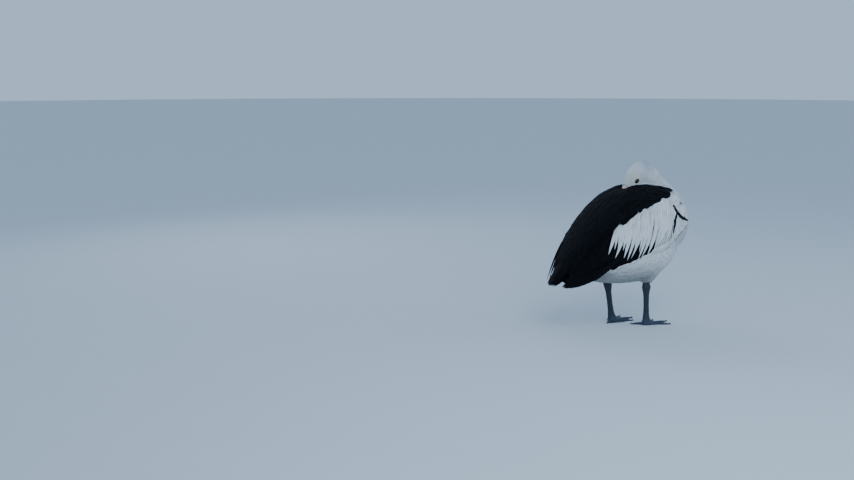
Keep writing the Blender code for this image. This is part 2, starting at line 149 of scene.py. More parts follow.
def bridge(form, rings, closed=False):
    """Joins each ring of points to the next by a band of faces. Gives the rings' corners."""
    loops = [[form.verts.new(point) for point in ring] for ring in rings]
    for near, far in zip(loops, loops[1:] + loops[:closed]):
        for i in range(len(near)):
            j = (i + 1) % len(near)
            form.faces.new((near[i], near[j], far[j], far[i]))
    return loops


def node_copy(name, nodes):
    """The solids of these nodes as one object, their loose corners merged."""
    form = bmesh.new()
    for node in nodes:
        form.from_mesh(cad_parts[node].data)
    bmesh.ops.remove_doubles(form, verts=form.verts, dist=1e-6)
    return formed(name, form, smooth=False)


def remeshed(obj, voxel, smoothing):
    """Wraps the object in one even, softened skin."""
    wrap = obj.modifiers.new("Wrap", "REMESH")
    wrap.mode = "VOXEL"
    wrap.voxel_size = voxel
    relax = obj.modifiers.new("Relax", "SMOOTH")
    relax.factor = 0.5
    relax.iterations = smoothing
    keep_largest(applied(obj).data)
    return obj


def keep_largest(mesh):
    """Drops all but the biggest connected piece."""
    form = bmesh.new()
    form.from_mesh(mesh)
    best, seen = set(), set()
    for start in form.verts:
        if start in seen:
            continue
        group, reach = {start}, [start]
        while reach:
            for edge in reach.pop().link_edges:
                for vert in edge.verts:
                    if vert not in group:
                        group.add(vert)
                        reach.append(vert)
        seen |= group
        best = max(best, group, key=len)
    bmesh.ops.delete(form, geom=[v for v in form.verts if v not in best], context="VERTS")
    bmesh.ops.triangulate(form, faces=form.faces)
    form.to_mesh(mesh)
    form.free()


def rows_of(values, name, width):
    rows = np.empty(len(values) * width, np.float32)
    values.foreach_get(name, rows)
    return rows.reshape(-1, width)


def corners_of(mesh, name="co"):
    return rows_of(mesh.vertices, name, 3).astype(float)


def edges_of(mesh):
    return np.array([edge.vertices for edge in mesh.edges])


def move_corners(mesh, points):
    mesh.vertices.foreach_set("co", points.astype(np.float32).ravel())
    mesh.update()
    mesh.shade_smooth()


def spread_out(points, order, spacing):
    """The points, taken in this order, that stand no nearer to each other than the spacing."""
    crowd = KDTree(len(points))
    for i, point in enumerate(points):
        crowd.insert(point, i)
    crowd.balance()
    free, kept = np.ones(len(points), bool), []
    for i in order:
        if free[i]:
            kept.append(i)
            for _, j, _ in crowd.find_range(points[i], spacing):
                free[j] = False
    return kept


def with_last(rows, value):
    """The rows with one more column of this value."""
    return np.concatenate([rows, np.full((len(rows), 1), value)], 1)


# ---------------------------------------------------------------- the skin


def solids_map(nodes):
    """A tree of all the nodes' triangles, and the kind of each triangle."""
    points, faces, kinds = [], [], []
    for node in nodes:
        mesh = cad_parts[node].data
        kind = next(i for i, kind in enumerate(KINDS) if node.startswith(kind))
        faces += [[len(points) + i for i in face.vertices] for face in mesh.polygons]
        kinds += [kind] * len(mesh.polygons)
        points += [v.co.copy() for v in mesh.vertices]
    return BVHTree.FromPolygons(points, faces), np.array(kinds)


def neighbour_mean(values, edges, rounds):
    """Each point's value mixed with its neighbours', again and again."""
    count = np.zeros(len(values))
    np.add.at(count, edges.ravel(), 1)
    shape = (-1,) + (1,) * (values.ndim - 1)
    for _ in range(rounds):
        total = np.zeros_like(values)
        np.add.at(total, edges[:, 0], values[edges[:, 1]])
        np.add.at(total, edges[:, 1], values[edges[:, 0]])
        values = 0.5 * values + 0.5 * total / count.reshape(shape)
    return values


def make_skin():
    """One closed skin for all the flesh, sunk below the solids by the coat's depth."""
    skin = remeshed(node_copy("skin", BODY), SKIN_VOXEL, 6)
    mesh = skin.data
    points, normals, edges = corners_of(mesh), corners_of(mesh, "normal"), edges_of(mesh)
    solids, kinds = solids_map(BODY)
    label = np.array([kinds[solids.find_nearest(p)[2]] for p in points])
    own = BVHTree.FromObject(skin, bpy.context.evaluated_depsgraph_get())
    depth = np.array([COAT_DEPTH[KINDS[k]] for k in label])
    for i, (point, normal) in enumerate(zip(points, normals)):
        hit = own.ray_cast(Vector(point - normal * 1e-4), Vector(-normal), THIN_REACH)
        if hit[0] is not None:
            depth[i] = min(depth[i], THIN_SHARE * hit[3])
    depth = neighbour_mean(depth, edges, 8)
    points -= normals * depth[:, None]
    points = neighbour_mean(points, edges, 4)
    # The tail's flesh is short and narrow: what is seen of it is quills.
    tail = np.flatnonzero(label == KINDS.index("tail"))
    flat = points[tail] - HOME_ROW
    far = smooth_step(-0.320, -0.350, flat[:, 0])
    points[tail, 0] += far * 0.6 * np.maximum(-0.345 - flat[:, 0], 0)
    points[tail, 1] -= far * 0.45 * flat[:, 1]
    points[tail, 2] -= far * 0.004
    move_corners(mesh, points)
    return skin, label, depth


def unwrap(obj):
    """Lays the skin's own shape out flat, as the map that every root is placed on."""
    obj.data.uv_layers.new(name="OFBake")
    for other in bpy.context.selected_objects:
        other.select_set(False)
    bpy.context.view_layer.objects.active = obj
    obj.select_set(True)
    bpy.ops.object.mode_set(mode="EDIT")
    bpy.ops.mesh.select_all(action="SELECT")
    bpy.ops.uv.smart_project(angle_limit=math.radians(66), island_margin=0.002)
    bpy.ops.object.mode_set(mode="OBJECT")


class Ground:
    """The skin as something to plant feathers on and to lay them over."""

    def __init__(self, skin, label, depth, rng):
        mesh, self.rng = skin.data, rng
        self.points = corners_of(mesh)
        # Softened, so that a feather isn't twisted where it bridges a fold.
        self.normals = unit(neighbour_mean(corners_of(mesh, "normal"), edges_of(mesh),
                                           SOFTENING))
        self.faces = np.array([face.vertices[:] for face in mesh.polygons])
        self.uv = rows_of(mesh.uv_layers["OFBake"].data, "uv", 2).reshape(-1, 3, 2)
        self.depth = depth
        self.tree = BVHTree.FromPolygons([Vector(p) for p in self.points],
                                         self.faces.tolist())
        a, b, c = self.corners(slice(None))
        self.area = np.linalg.norm(np.cross(b - a, c - a), axis=1) / 2
        self.centre = (a + b + c) / 3
        self.face_label = label[self.faces[:, 0]]

    def corners(self, faces):
        return (self.points[self.faces[faces, i]] for i in range(3))

    def weights(self, faces, places):
        """Each place as shares of its face's corners, as read uses them."""
        a, b, c = self.corners(faces)
        whole = np.cross(b - a, c - a)
        size = np.maximum((whole * whole).sum(1), 1e-20)
        v = (np.cross(c - b, places - b) * whole).sum(1) / size
        w = (np.cross(a - c, places - c) * whole).sum(1) / size
        rows = np.clip(np.stack([v, w, 1 - v - w], 1), 0, 1)
        return rows / rows.sum(1, keepdims=True)

    def read(self, faces, places):
        """Roots on these faces: place, the same in the bird's frame, normal, place on the
        unwrap, coat depth, label."""
        share = self.weights(faces, places)
        corner = self.faces[faces]
        normal = unit((self.normals[corner] * share[..., None]).sum(1))
        uv = (self.uv[faces] * share[..., None]).sum(1)
        depth = (self.depth[corner] * share).sum(1)
        return {"place": places, "flat": places - HOME_ROW, "normal": normal, "uv": uv,
                "depth": depth, "label": self.face_label[faces]}

    def nearest(self, places):
        found = [self.tree.find_nearest(p)[:3:2] for p in places]
        spots = np.array([spot for spot, _ in found])
        return self.read(np.array([face for _, face in found]), spots)

    def cast(self, starts, aims):
        """Roots where these lines first meet the skin. Lines that miss are dropped."""
        hits = [self.tree.ray_cast(Vector(s), Vector(a)) for s, a in zip(starts, aims)]
        kept = [i for i, hit in enumerate(hits) if hit[0] is not None]
        spots = np.array([hits[i][0] for i in kept], float).reshape(-1, 3)
        roots = self.read(np.array([hits[i][2] for i in kept], int), spots)
        return {**roots, "index": np.array(kept, int)}

    def scatter(self, spacing, kinds, test):
        """Roots over the faces of these kinds where the test of place and kind holds, no two
        nearer than the spacing."""
        chosen = np.flatnonzero(np.isin(self.face_label, kinds)
                                & test(self.centre - HOME_ROW, self.face_label))
        area = self.area[chosen]
        count = int(CROWDING * area.sum() / spacing ** 2)
        faces = self.rng.choice(chosen, count, p=area / area.sum())
        u, v = self.rng.random(count), self.rng.random(count)
        flip = u + v > 1
        u[flip], v[flip] = 1 - u[flip], 1 - v[flip]
        a, b, c = self.corners(faces)
        places = a + (b - a) * u[:, None] + (c - a) * v[:, None]
        kept = spread_out(places, range(count), spacing)
        return self.read(faces[kept], places[kept])


# ---------------------------------------------------------------- the lie of the coat
# Places and directions in the bird's own plane: x, z, then the way the feathers point there.
BODY_LIE = (
    (-0.028, 0.580, 0.743, 0.669), (0.002, 0.607, 0.743, 0.669), (0.012, 0.645, 0.80, 0.60),
    (0.045, 0.668, 0.93, 0.25), (0.085, 0.645, 0.74, -0.67), (0.110, 0.605, 0.62, -0.78),
    (0.150, 0.550, 0.50, -0.86), (0.200, 0.500, 0.20, -0.98), (0.270, 0.420, -0.10, -0.99),
    (0.240, 0.330, -0.50, -0.86), (0.180, 0.340, -0.42, -0.90), (0.150, 0.240, -0.85, -0.52),
    (0.060, 0.280, -0.62, -0.78), (0.000, 0.175, -1.0, -0.05), (-0.150, 0.185, -0.97, 0.20),
    (-0.280, 0.240, -0.95, 0.30), (-0.250, 0.330, -0.85, -0.50), (0.000, 0.470, -1.0, -0.20),
    (-0.100, 0.260, -0.90, -0.40),
)
WING_LIE = (
    (0.200, 0.470, -0.30, -0.95), (0.150, 0.430, -0.30, -0.95), (0.000, 0.400, -0.27, -0.96),
    (-0.120, 0.380, -0.34, -0.94), (-0.210, 0.360, -0.50, -0.86), (-0.300, 0.290, -0.72, -0.69),
    (-0.370, 0.230, -0.86, -0.51), (0.100, 0.340, -0.32, -0.95), (-0.100, 0.270, -0.30, -0.95),
    (-0.230, 0.250, -0.66, -0.75),
)
CLOAK_LIE = (
    (0.186, 0.530, -0.98, 0.10), (0.140, 0.570, -1.0, 0.06), (0.050, 0.592, -1.0, -0.02),
    (-0.090, 0.564, -0.95, -0.30), (-0.200, 0.480, -0.80, -0.60), (-0.300, 0.370, -0.62, -0.78),
    (0.110, 0.520, -0.88, -0.48), (-0.050, 0.480, -0.66, -0.75), (-0.150, 0.420, -0.52, -0.85),
    (-0.250, 0.350, -0.58, -0.82), (-0.360, 0.290, -0.74, -0.67),
)


def lie_at(guides, places):
    """The way the coat points at these places, from the nearest guides."""
    rows = np.array(guides)
    flat = (places - HOME_ROW)[:, (0, 2)]
    gap = ((flat[:, None, :] - rows[None, :, :2]) ** 2).sum(2)
    share = 1 / (gap + 0.0004) ** 2
    aim = (share[..., None] * rows[None, :, 2:]).sum(1)
    return unit(np.stack([aim[:, 0], np.zeros(len(aim)), aim[:, 1]], 1))


def along_ground(aim, normal):
    return unit(aim - normal * (aim * normal).sum(1, keepdims=True))


def turned(aim, axis, angle):
    """Rows turned about their own axes."""
    angle = np.asarray(angle)[:, None]
    side = np.cross(axis, aim)
    return aim * np.cos(angle) + side * np.sin(angle)


# Outlines: share of the length, share of the half width.
DOWN = ((0, 0.45), (0.35, 1.0), (0.70, 0.85), (1.0, 0.08))
CONTOUR = ((0, 0.35), (0.25, 0.85), (0.55, 1.0), (0.80, 0.86), (0.93, 0.50), (1.0, 0.08))
LANCE = ((0, 0.50), (0.20, 0.92), (0.42, 1.0), (0.68, 0.74), (0.87, 0.34), (1.0, 0.03))
QUILL = ((0, 0.45), (0.20, 0.90), (0.60, 1.0), (0.82, 0.88), (0.94, 0.55), (1.0, 0.06))
PLUME = ((0, 0.6), (0.30, 1.0), (0.65, 0.60), (1.0, 0.04))


def picked(roots, wanted):
    return {key: rows[wanted] for key, rows in roots.items()}


def walk(ground, roots, lie, aim, size, points, cling, follow, splay, curve):
    """Steps over the ground from each root. Gives places, facings and the kinds crossed."""
    place, facing = roots["place"].copy(), roots["normal"].copy()
    way = lie_at(lie, place) if aim is None else np.broadcast_to(aim, place.shape)
    way = turned(along_ground(way, facing), facing, splay)
    step = (size / (points - 1))[:, None]
    places, facings, kinds = [place], [facing], [roots["label"]]
    for _ in range(points - 1):
        ahead = place + way * step
        near = ground.nearest(ahead)
        height = ((ahead - near["place"]) * near["normal"]).sum(1)
        pull = np.where(height < 0, 1.0, cling)[:, None]
        place = ahead + (near["place"] - ahead) * pull
        facing = unit(facing + (near["normal"] - facing) * pull * 0.7)
        if follow and aim is None:
            way = unit(way * (1 - follow) + lie_at(lie, place) * follow)
        way = turned(along_ground(way, facing), facing, curve)
        places.append(place)
        facings.append(facing)
        kinds.append(near["label"])
    return np.stack(places, 1), np.stack(facings, 1), np.stack(kinds, 1)


def lay(ground, roots, lie=BODY_LIE, aim=None, length=(0.03, 0.04), half=0.005, points=4,
        outline=CONTOUR, cling=1.0, follow=0.5, splay=0.12, bend=0.0, roll=0.10, low=0.10,
        high=0.95, tint=None, shade=0.05, within=None, beyond=0.008, least=0.4, rng=None):
    """Shafts from the roots over the ground, with the width, facing and tint of each point.

    The coat's depth times low and high is how far root and tip stand off the skin. A shaft that
    leaves the places within its bounds ends a little beyond them, and is dropped if it would
    be shorter than its least share."""
    rng, count = rng or ground.rng, len(roots["place"])
    size = rng.uniform(*length, count)
    size *= roots.get("scale", np.ones(count))
    turn, curve = rng.normal(0, splay, count), rng.normal(0, bend, count)
    if within is not None:
        places, _, kinds = walk(ground, roots, lie, aim, size, points, cling, follow, turn, curve)
        inside = np.stack([within(places[:, k] - HOME_ROW, kinds[:, k])
                           for k in range(points)], 1)
        share = np.cumprod(inside, 1).sum(1) / points
        room = np.minimum((share * size + rng.uniform(0, beyond, count)) / size, 1.0)
        kept = room >= least
        roots, room = picked(roots, kept), room[kept]
        size, turn, curve = size[kept] * room, turn[kept], curve[kept]
        count = len(size)
    places, facings, _ = walk(ground, roots, lie, aim, size, points, cling, follow, turn, curve)
    along = np.linspace(0, 1, points)
    lift = roots["depth"] * rng.uniform(0.96, 1.04, count)
    rise = low + (high - low) * along ** 0.7
    places = places + facings * (lift[:, None] * rise)[..., None]
    shaft = unit(places[:, -1] - places[:, 0])
    tilt = rng.normal(0, roll, count)
    facings = np.stack([turned(along_ground(facings[:, k], shaft), shaft, tilt)
                        for k in range(points)], 1)
    tint = plumage(roots["place"], roots["label"]) if tint is None else tint
    return shafts(rng, places, facings, along, outline, half, 0.15, tint, shade, roots["uv"])


def shafts(rng, places, facings, along, outline, half, spread, tint, shade, uv):
    """Shafts with all that the tree reads at each of their points."""
    count, points = places.shape[:2]
    widths = np.interp(along, *np.array(outline).T) * half
    widths = widths * rng.uniform(1 - spread, 1 + spread, (count, 1))
    tint = np.broadcast_to(tint, (count, 3)) * (1 + rng.normal(0, shade, (count, 1)))

    def repeated(rows):
        return np.repeat(rows[:, None], points, 1)

    return {"place": places, "face": facings, "width": widths,
            "along": np.broadcast_to(along, (count, points)),
            "tint": repeated(with_last(np.clip(tint, 0, 1), 1)),
            "root_uv": repeated(with_last(uv, 0)), "seed": repeated(rng.random(count))}


# How the mesh keeps what the tree reads.
FIELDS = {"face": ("FLOAT_VECTOR", "vector"), "width": ("FLOAT", "value"),
          "along": ("FLOAT", "value"), "tint": ("FLOAT_COLOR", "color"),
          "root_uv": ("FLOAT_VECTOR", "vector"), "seed": ("FLOAT", "value")}


def shaft_mesh(name, batches):
    """All the shafts as lines of edges, each point with its fields."""
    def column(key):
        return np.concatenate([batch[key].ravel() for batch in batches]).astype(np.float32)

    edges, start = [], 0
    for batch in batches:
        index = start + np.arange(batch["width"].size).reshape(batch["width"].shape)
        edges.append(np.stack([index[:, :-1].ravel(), index[:, 1:].ravel()], 1))
        start += index.size
    edges = np.concatenate(edges).astype(np.int32)
    mesh = bpy.data.meshes.new(name)
    mesh.vertices.add(start)
    mesh.vertices.foreach_set("co", column("place"))
    mesh.edges.add(len(edges))
    mesh.edges.foreach_set("vertices", edges.ravel())
    for key, (layout, slot) in FIELDS.items():
        mesh.attributes.new(key, layout, "POINT").data.foreach_set(slot, column(key))
    mesh.update()
    return mesh


# ---------------------------------------------------------------- nodes
def fill(tree, inputs, values):
    """Sets or links inputs, by socket name or number. A colour's alpha is left out."""
    for key, value in values.items():
        if isinstance(value, bpy.types.NodeSocket):
            tree.links.new(value, inputs[key])
        elif inputs[key].type == "RGBA":
            inputs[key].default_value = (*value, 1)
        else:
            inputs[key].default_value = value


def add(tree, kind, values=(), **settings):
    """Adds a node with these settings and inputs. Gives its outputs."""
    node = tree.nodes.new(kind)
    for key, setting in settings.items():
        setattr(node, key, setting)
    fill(tree, node.inputs, dict(values))
    return node.outputs


def new_tree(name, family, inputs, outputs):
    """A tree with these sockets. Gives the tree and what comes in."""
    tree = bpy.data.node_groups.new(name, family + "NodeTree")
    for way, rows in (("INPUT", inputs), ("OUTPUT", outputs)):
        for label, kind, *value in rows:
            made = tree.interface.new_socket(label, in_out=way, socket_type="NodeSocket" + kind)
            if value:
                made.default_value = (*value[0], 1) if kind == "Color" else value[0]
    return tree, add(tree, "NodeGroupInput")


def tree_of(values):
    """The tree that the sockets among these values are in."""
    return next(value.id_data for value in values if isinstance(value, bpy.types.NodeSocket))


def maths(operation, *values):
    """A Math node: numbers are set, sockets are linked. Gives its output."""
    return add(tree_of(values), "ShaderNodeMath", enumerate(values), operation=operation)[0]


def times(one, two):
    return maths("MULTIPLY", one, two)


def vector_maths(operation, one, two):
    """A Vector Math node. Gives its outputs: the vector, then the number."""
    return add(one.id_data, "ShaderNodeVectorMath", {0: one, 1: two}, operation=operation)


def parts_of(vector):
    return add(vector.id_data, "ShaderNodeSeparateXYZ", {0: vector})


def vector_of(x, y):
    return add(x.id_data, "ShaderNodeCombineXYZ", {"X": x, "Y": y})[0]


def noise(place, scale, detail):
    return add(place.id_data, "ShaderNodeTexNoise",
               {"Vector": place, "Scale": scale, "Detail": detail})[0]


def blended(share, one, two, how="MIX"):
    """A colour Mix node."""
    return add(tree_of((share, one, two)), "ShaderNodeMix", {0: share, 6: one, 7: two},
               data_type="RGBA", blend_type=how)[2]


def ramped(value, low, high, start=0.0, end=1.0):
    return add(value.id_data, "ShaderNodeMapRange",
               {"Value": value, "From Min": low, "From Max": high, "To Min": start,
                "To Max": end}, interpolation_type="SMOOTHSTEP")[0]


# ---------------------------------------------------------------- the tree that clothes a shaft
def named(tree, name):
    layout = FIELDS[name][0] if name in FIELDS else "FLOAT"
    return add(tree, "GeometryNodeInputNamedAttribute", {"Name": name}, data_type=layout)[0]


def stored(tree, geometry, name, layout, domain, value):
    return add(tree, "GeometryNodeStoreNamedAttribute",
               {"Geometry": geometry, "Name": name, "Value": value},
               data_type=layout, domain=domain)[0]


def vane_section(tree, points, thickness, cup):
    """A flat lens across the shaft, sunk at its edges by the cup."""
    ring = add(tree, "GeometryNodeCurvePrimitiveCircle", {"Resolution": points, "Radius": 1.0},
               mode="RADIUS")[0]
    x, y, _ = parts_of(add(tree, "GeometryNodeInputPosition")[0])
    ring = stored(tree, ring, "across", "FLOAT", "POINT", y)
    height = maths("SUBTRACT", times(x, thickness), times(times(y, y), cup))
    return add(tree, "GeometryNodeSetPosition",
               {"Geometry": ring, "Position": vector_of(height, y)})[0]


def vane_tree():
    """Clothes lines of points in feather vanes, with their maps and material."""
    tree, given = new_tree(
        "feather_vanes", "Geometry",
        (("Shafts", "Geometry"), ("Section Points", "Int", 4), ("Thickness", "Float", 0.08),
         ("Cup", "Float", 0.15), ("Raggedness", "Float", 0.0), ("Patch", "Float", PATCH),
         ("Finish", "Material")), (("Vanes", "Geometry"),))
    along = named(tree, "along")
    line = add(tree, "GeometryNodeMeshToCurve", {"Mesh": given["Shafts"]})[0]
    line = add(tree, "GeometryNodeSetCurveNormal", {"Curve": line, "Normal": named(tree, "face")},
               mode="FREE")[0]
    # Each vane has its own notches along its edge.
    place = maths("ADD", times(along, 11.0), times(named(tree, "seed"), 173.0))
    notch = add(tree, "ShaderNodeTexNoise", {"W": place, "Scale": 1.0, "Detail": 2.0},
                noise_dimensions="1D")[0]
    notch = times(times(notch, along), given["Raggedness"])
    width = times(named(tree, "width"), maths("SUBTRACT", 1.0, notch))
    section = vane_section(tree, given["Section Points"], given["Thickness"], given["Cup"])
    vanes = add(tree, "GeometryNodeCurveToMesh",
                {"Curve": line, "Profile Curve": section, "Scale": width, "Fill Caps": True})[0]
    # Each vane's small patch lies round its root's place; the second map is the vane's own.
    half = times(named(tree, "across"), 0.5)
    local = vector_of(half, maths("SUBTRACT", along, 0.5))
    patch = add(tree, "ShaderNodeVectorMath", {0: local, "Scale": given["Patch"]},
                operation="SCALE")[0]
    for uv_map, value in (
            ("OFBake", vector_maths("ADD", named(tree, "root_uv"), patch)[0]),
            ("vane", vector_of(maths("ADD", half, 0.5), along))):
        vanes = stored(tree, vanes, uv_map, "FLOAT2", "CORNER", value)
    vanes = add(tree, "GeometryNodeSetShadeSmooth", {"Geometry": vanes})[0]
    for spare in ("face", "width", "root_uv", "across", "along", "seed"):
        vanes = add(tree, "GeometryNodeRemoveAttribute", {"Geometry": vanes, "Name": spare})[0]
    vanes = add(tree, "GeometryNodeRealizeInstances", {"Geometry": vanes})[0]
    vanes = add(tree, "GeometryNodeSetMaterial",
                {"Geometry": vanes, "Material": given["Finish"]})[0]
    add(tree, "NodeGroupOutput", {"Vanes": vanes})
    return tree

VANES = vane_tree()


def dressed(obj, tree, values):
    """Runs the tree on the object with these inputs, and keeps the result as a plain mesh."""
    work = obj.modifiers.new("Work", "NODES")
    work.node_group = tree
    for item in tree.interface.items_tree:
        if item.in_out == "INPUT" and item.name in values:
            work[item.identifier] = values[item.name]
    return applied(obj)


def finish_piece(piece, slot, *nodes, look=None):
    """Gives the piece its body and material, and hides the nodes that it stands for. The slot is
    not used.
    """
    if look:
        piece.data.materials.append(look)
    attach(piece, "root")
    if nodes:
        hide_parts(*nodes)
    return piece


def coat(name, batches, look, section=4, thickness=0.05, cup=0.12, ragged=0.0):
    """One coat piece: every feather of the batches as a vane."""
    piece = link(name, shaft_mesh(name, batches))
    dressed(piece, VANES, {"Section Points": section, "Thickness": thickness, "Cup": cup,
                           "Raggedness": ragged, "Patch": PATCH, "Finish": look})
    finish_piece(piece, "plumage_" + look.name.removesuffix("_plumage"))


# ---------------------------------------------------------------- shader groups
LOOK = (("Colour", "Color"), ("Rough", "Float"), ("Height", "Float"))


def barbs_group():
    """A vane's shaft, barbs and pale edge, over its own tint."""
    tree, given = new_tree(
        "feather_barbs", "Shader",
        (("Tint", "Color", (0.8, 0.8, 0.8)), ("Vane", "Vector"), ("Place", "Vector"),
         ("Barbs", "Float", 40.0), ("Slant", "Float", 0.5), ("Shaft Width", "Float", 0.10),
         ("Shaft Colour", "Color", (0.5, 0.5, 0.5)), ("Shaft Share", "Float", 0.3),
         ("Edge Colour", "Color", (0.9, 0.9, 0.9)), ("Edge Share", "Float", 0.2),
         ("Soil", "Float", 0.1)), LOOK)
    x, y, _ = parts_of(given["Vane"])
    side = maths("ABSOLUTE", maths("MULTIPLY_ADD", x, 2.0, -1.0))
    slope = maths("SUBTRACT", y, times(side, given["Slant"]))
    waver = times(noise(given["Place"], 60.0, 2.0), 2.5)
    barb = maths("ABSOLUTE", maths("SINE", maths("MULTIPLY_ADD", slope, given["Barbs"], waver)))
    shaft = ramped(side, 0.0, given["Shaft Width"], 1.0, 0.0)
    rim = times(ramped(side, 0.55, 1.0), given["Edge Share"])
    soil = times(ramped(noise(given["Place"], 14.0, 4.0), 0.42, 0.75), given["Soil"])
    colour = blended(rim, given["Tint"], given["Edge Colour"])
    colour = blended(times(shaft, given["Shaft Share"]), colour, given["Shaft Colour"])
    colour = blended(1.0, colour, maths("MULTIPLY_ADD", barb, 0.10, 0.90), "MULTIPLY")
    add(tree, "NodeGroupOutput",
        {"Colour": blended(soil, colour, (0.72, 0.68, 0.60), "MULTIPLY"),
         "Rough": maths("MULTIPLY_ADD", barb, -0.12, 0.78),
         "Height": maths("MULTIPLY_ADD", shaft, 1.6, barb)})
    return tree


def grain_group():
    """Bare skin: small plates with grooves between them, finer creases and patchy colour."""
    tree, given = new_tree(
        "skin_grain", "Shader",
        (("Base", "Color", (0.1, 0.1, 0.1)), ("Groove", "Color", (0.02, 0.02, 0.02)),
         ("Place", "Vector"), ("Plates", "Float", 350.0), ("Groove Share", "Float", 0.6),
         ("Patchiness", "Float", 0.3)), LOOK)
    cell = add(tree, "ShaderNodeTexVoronoi", {"Vector": given["Place"], "Scale": given["Plates"]},
               feature="DISTANCE_TO_EDGE")["Distance"]
    plate = ramped(cell, 0.0, 0.22)
    fine, patch = noise(given["Place"], 900.0, 3.0), noise(given["Place"], 45.0, 4.0)
    groove = times(maths("SUBTRACT", 1.0, plate), given["Groove Share"])
    light = maths("MULTIPLY_ADD", maths("SUBTRACT", patch, 0.5),
                  times(given["Patchiness"], 2.0), 1.0)
    colour = blended(groove, given["Base"], given["Groove"])
    add(tree, "NodeGroupOutput",
        {"Colour": blended(1.0, colour, light, "MULTIPLY"),
         "Rough": maths("MULTIPLY_ADD", patch, 0.25, 0.35),
         "Height": maths("MULTIPLY_ADD", fine, 0.25, plate)})
    return tree

BARBS, GRAIN = barbs_group(), grain_group()


def place_of(tree):
    return add(tree, "ShaderNodeTexCoord")["Object"]


def tint_of(tree):
    return add(tree, "ShaderNodeAttribute", attribute_name="tint")["Color"]


def vane_of(tree):
    return add(tree, "ShaderNodeUVMap", uv_map="vane")[0]


def material(name, colour=None, roughness=0.6, **values):
    """A material of these shader values. The colour is a function that builds it."""
    made = bpy.data.materials.new(name)
    made.use_nodes = True
    tree = made.node_tree
    shader = tree.nodes["Principled BSDF"]
    values = {"Roughness": roughness, **values}
    fill(tree, shader.inputs, {key.replace("_", " "): value for key, value in values.items()})
    if colour:
        fill(tree, shader.inputs, {"Base Color": colour(tree)})
    return made, tree, shader


def finish(name, group, values, strength=0.5, distance=0.0004, **shader_values):
    """A material that takes its colour, roughness and height from the group. Each of the
    group's values is plain, or a function that builds one in the tree."""
    made, tree, shader = material(name, **shader_values)
    values = {key: value(tree) if callable(value) else value
              for key, value in {"Place": place_of, **values}.items()}
    look = add(tree, "ShaderNodeGroup", values, node_tree=group)
    bump = add(tree, "ShaderNodeBump", {"Height": look["Height"], "Strength": strength,
                                        "Distance": distance})
    fill(tree, shader.inputs, {"Base Color": look["Colour"], "Roughness": look["Rough"],
                               "Normal": bump[0]})
    return made


def grained(name, base, groove, plates, share, patchiness, **values):
    """Bare skin, scales or horn: plates with grooves of this colour and share of it."""
    return finish(name, GRAIN, {"Base": base, "Groove": groove, "Plates": plates,
                                "Groove Share": share, "Patchiness": patchiness}, **values)


# ---------------------------------------------------------------- markings, painted shade and finishes
WHITE = np.array((0.80, 0.81, 0.81))
CREAM = np.array((0.80, 0.755, 0.64))
# Painted shade, darkening the underside towards the bottom and the rear.
BELLY_SHADE = np.array((0.20, 0.21, 0.185))
GREY_BLUE = np.array((0.47, 0.56, 0.66))
# Painted shade for the lower front of the breast.
BREAST_SHADE = np.array((0.42, 0.46, 0.49))
BLACK = np.array((0.0034, 0.0037, 0.0052))
PINK = np.array((0.72, 0.46, 0.44))
HEAD, NECK, TRUNK, WING, SCAPULARS, PRIMARIES, TAIL, BILL = range(len(KINDS))
LEGS_AT = 0.06  # where breast and belly part
CROWN_FROM = 0.075  # where the crown's longer plumes begin, back along the head's line
CREST_PEAK = np.array((0.058, 0.0, 0.684))
# Lines on the flank, in the bird's own plane: x, then z. The lower edge of the black
# scapulars, the tips of the white coverts, and the tips of the black ones below them.
CLOAK_EDGE = ((-0.230, -0.176, -0.158, -0.140, -0.118, -0.097, -0.057, -0.028, 0.007, 0.055,
               0.083, 0.143, 0.172, 0.178),
              (0.445, 0.443, 0.451, 0.449, 0.465, 0.490, 0.507, 0.514, 0.526, 0.536,
               0.541, 0.549, 0.552, 0.640))
# Above this line the neck's white feathers lie over the scapulars.
CLOAK_TOP = ((-0.036, -0.030, 0.000, 0.050, 0.101, 0.145, 0.172),
             (0.700, 0.586, 0.584, 0.583, 0.578, 0.569, 0.559))
WHITE_TIPS = ((-0.215, -0.195, -0.166, -0.124, -0.065, -0.034, 0.003, 0.060, 0.126, 0.175),
              (0.325, 0.312, 0.306, 0.303, 0.302, 0.317, 0.335, 0.352, 0.378, 0.412))
BLACK_TIPS = ((-0.260, -0.222, -0.200, -0.169, -0.127, -0.105, -0.084, -0.060),
              (0.262, 0.270, 0.270, 0.259, 0.256, 0.268, 0.284, 0.297))
# Below this line the folded wing is hidden by the belly's white feathers.
BELLY_EDGE = ((-0.410, -0.360, -0.277, -0.240, -0.228, -0.200, -0.169, -0.127, -0.105, -0.084,
               -0.060, -0.045),
              (0.180, 0.192, 0.217, 0.236, 0.258, 0.264, 0.255, 0.252, 0.264, 0.280, 0.294,
               0.300))
# The white panel's rear edge: z, then x.
PANEL_REAR = ((0.300, 0.344, 0.375, 0.407, 0.443), (-0.213, -0.206, -0.196, -0.185, -0.176))
LOW_BAND = 0.045  # height of the dark band over the white coverts' tips
BAND_FROM = -0.045  # ahead of here the band is bounded by those tips, behind it by the belly
POINT_SPAN = (0.06, 0.175)  # where the cloak's point lies on neck and breast: x
POINT_CLEAR = 0.035  # how far the point keeps from the middle
CLOAK_REAR = -0.365
RUMP = (-0.262, 0.240)  # the rump is black behind this x and above this z
MANTLE = (-0.036, 0.560)  # and the mantle is white ahead of this x and above this z


def head_line(flat, origin=BILL_ROOT):
    """Distance back along the head's line from the origin, and above it."""
    offset = flat - np.array(origin)
    return offset @ np.array(HEAD_BACK), offset @ np.array(HEAD_UP)


def beyond_lids(flat):
    along, up = head_line(flat, EYES_AT)
    return np.hypot(along / (LID_REACH[0] - 0.0006), up / (LID_REACH[1] - 0.0006)) > 1


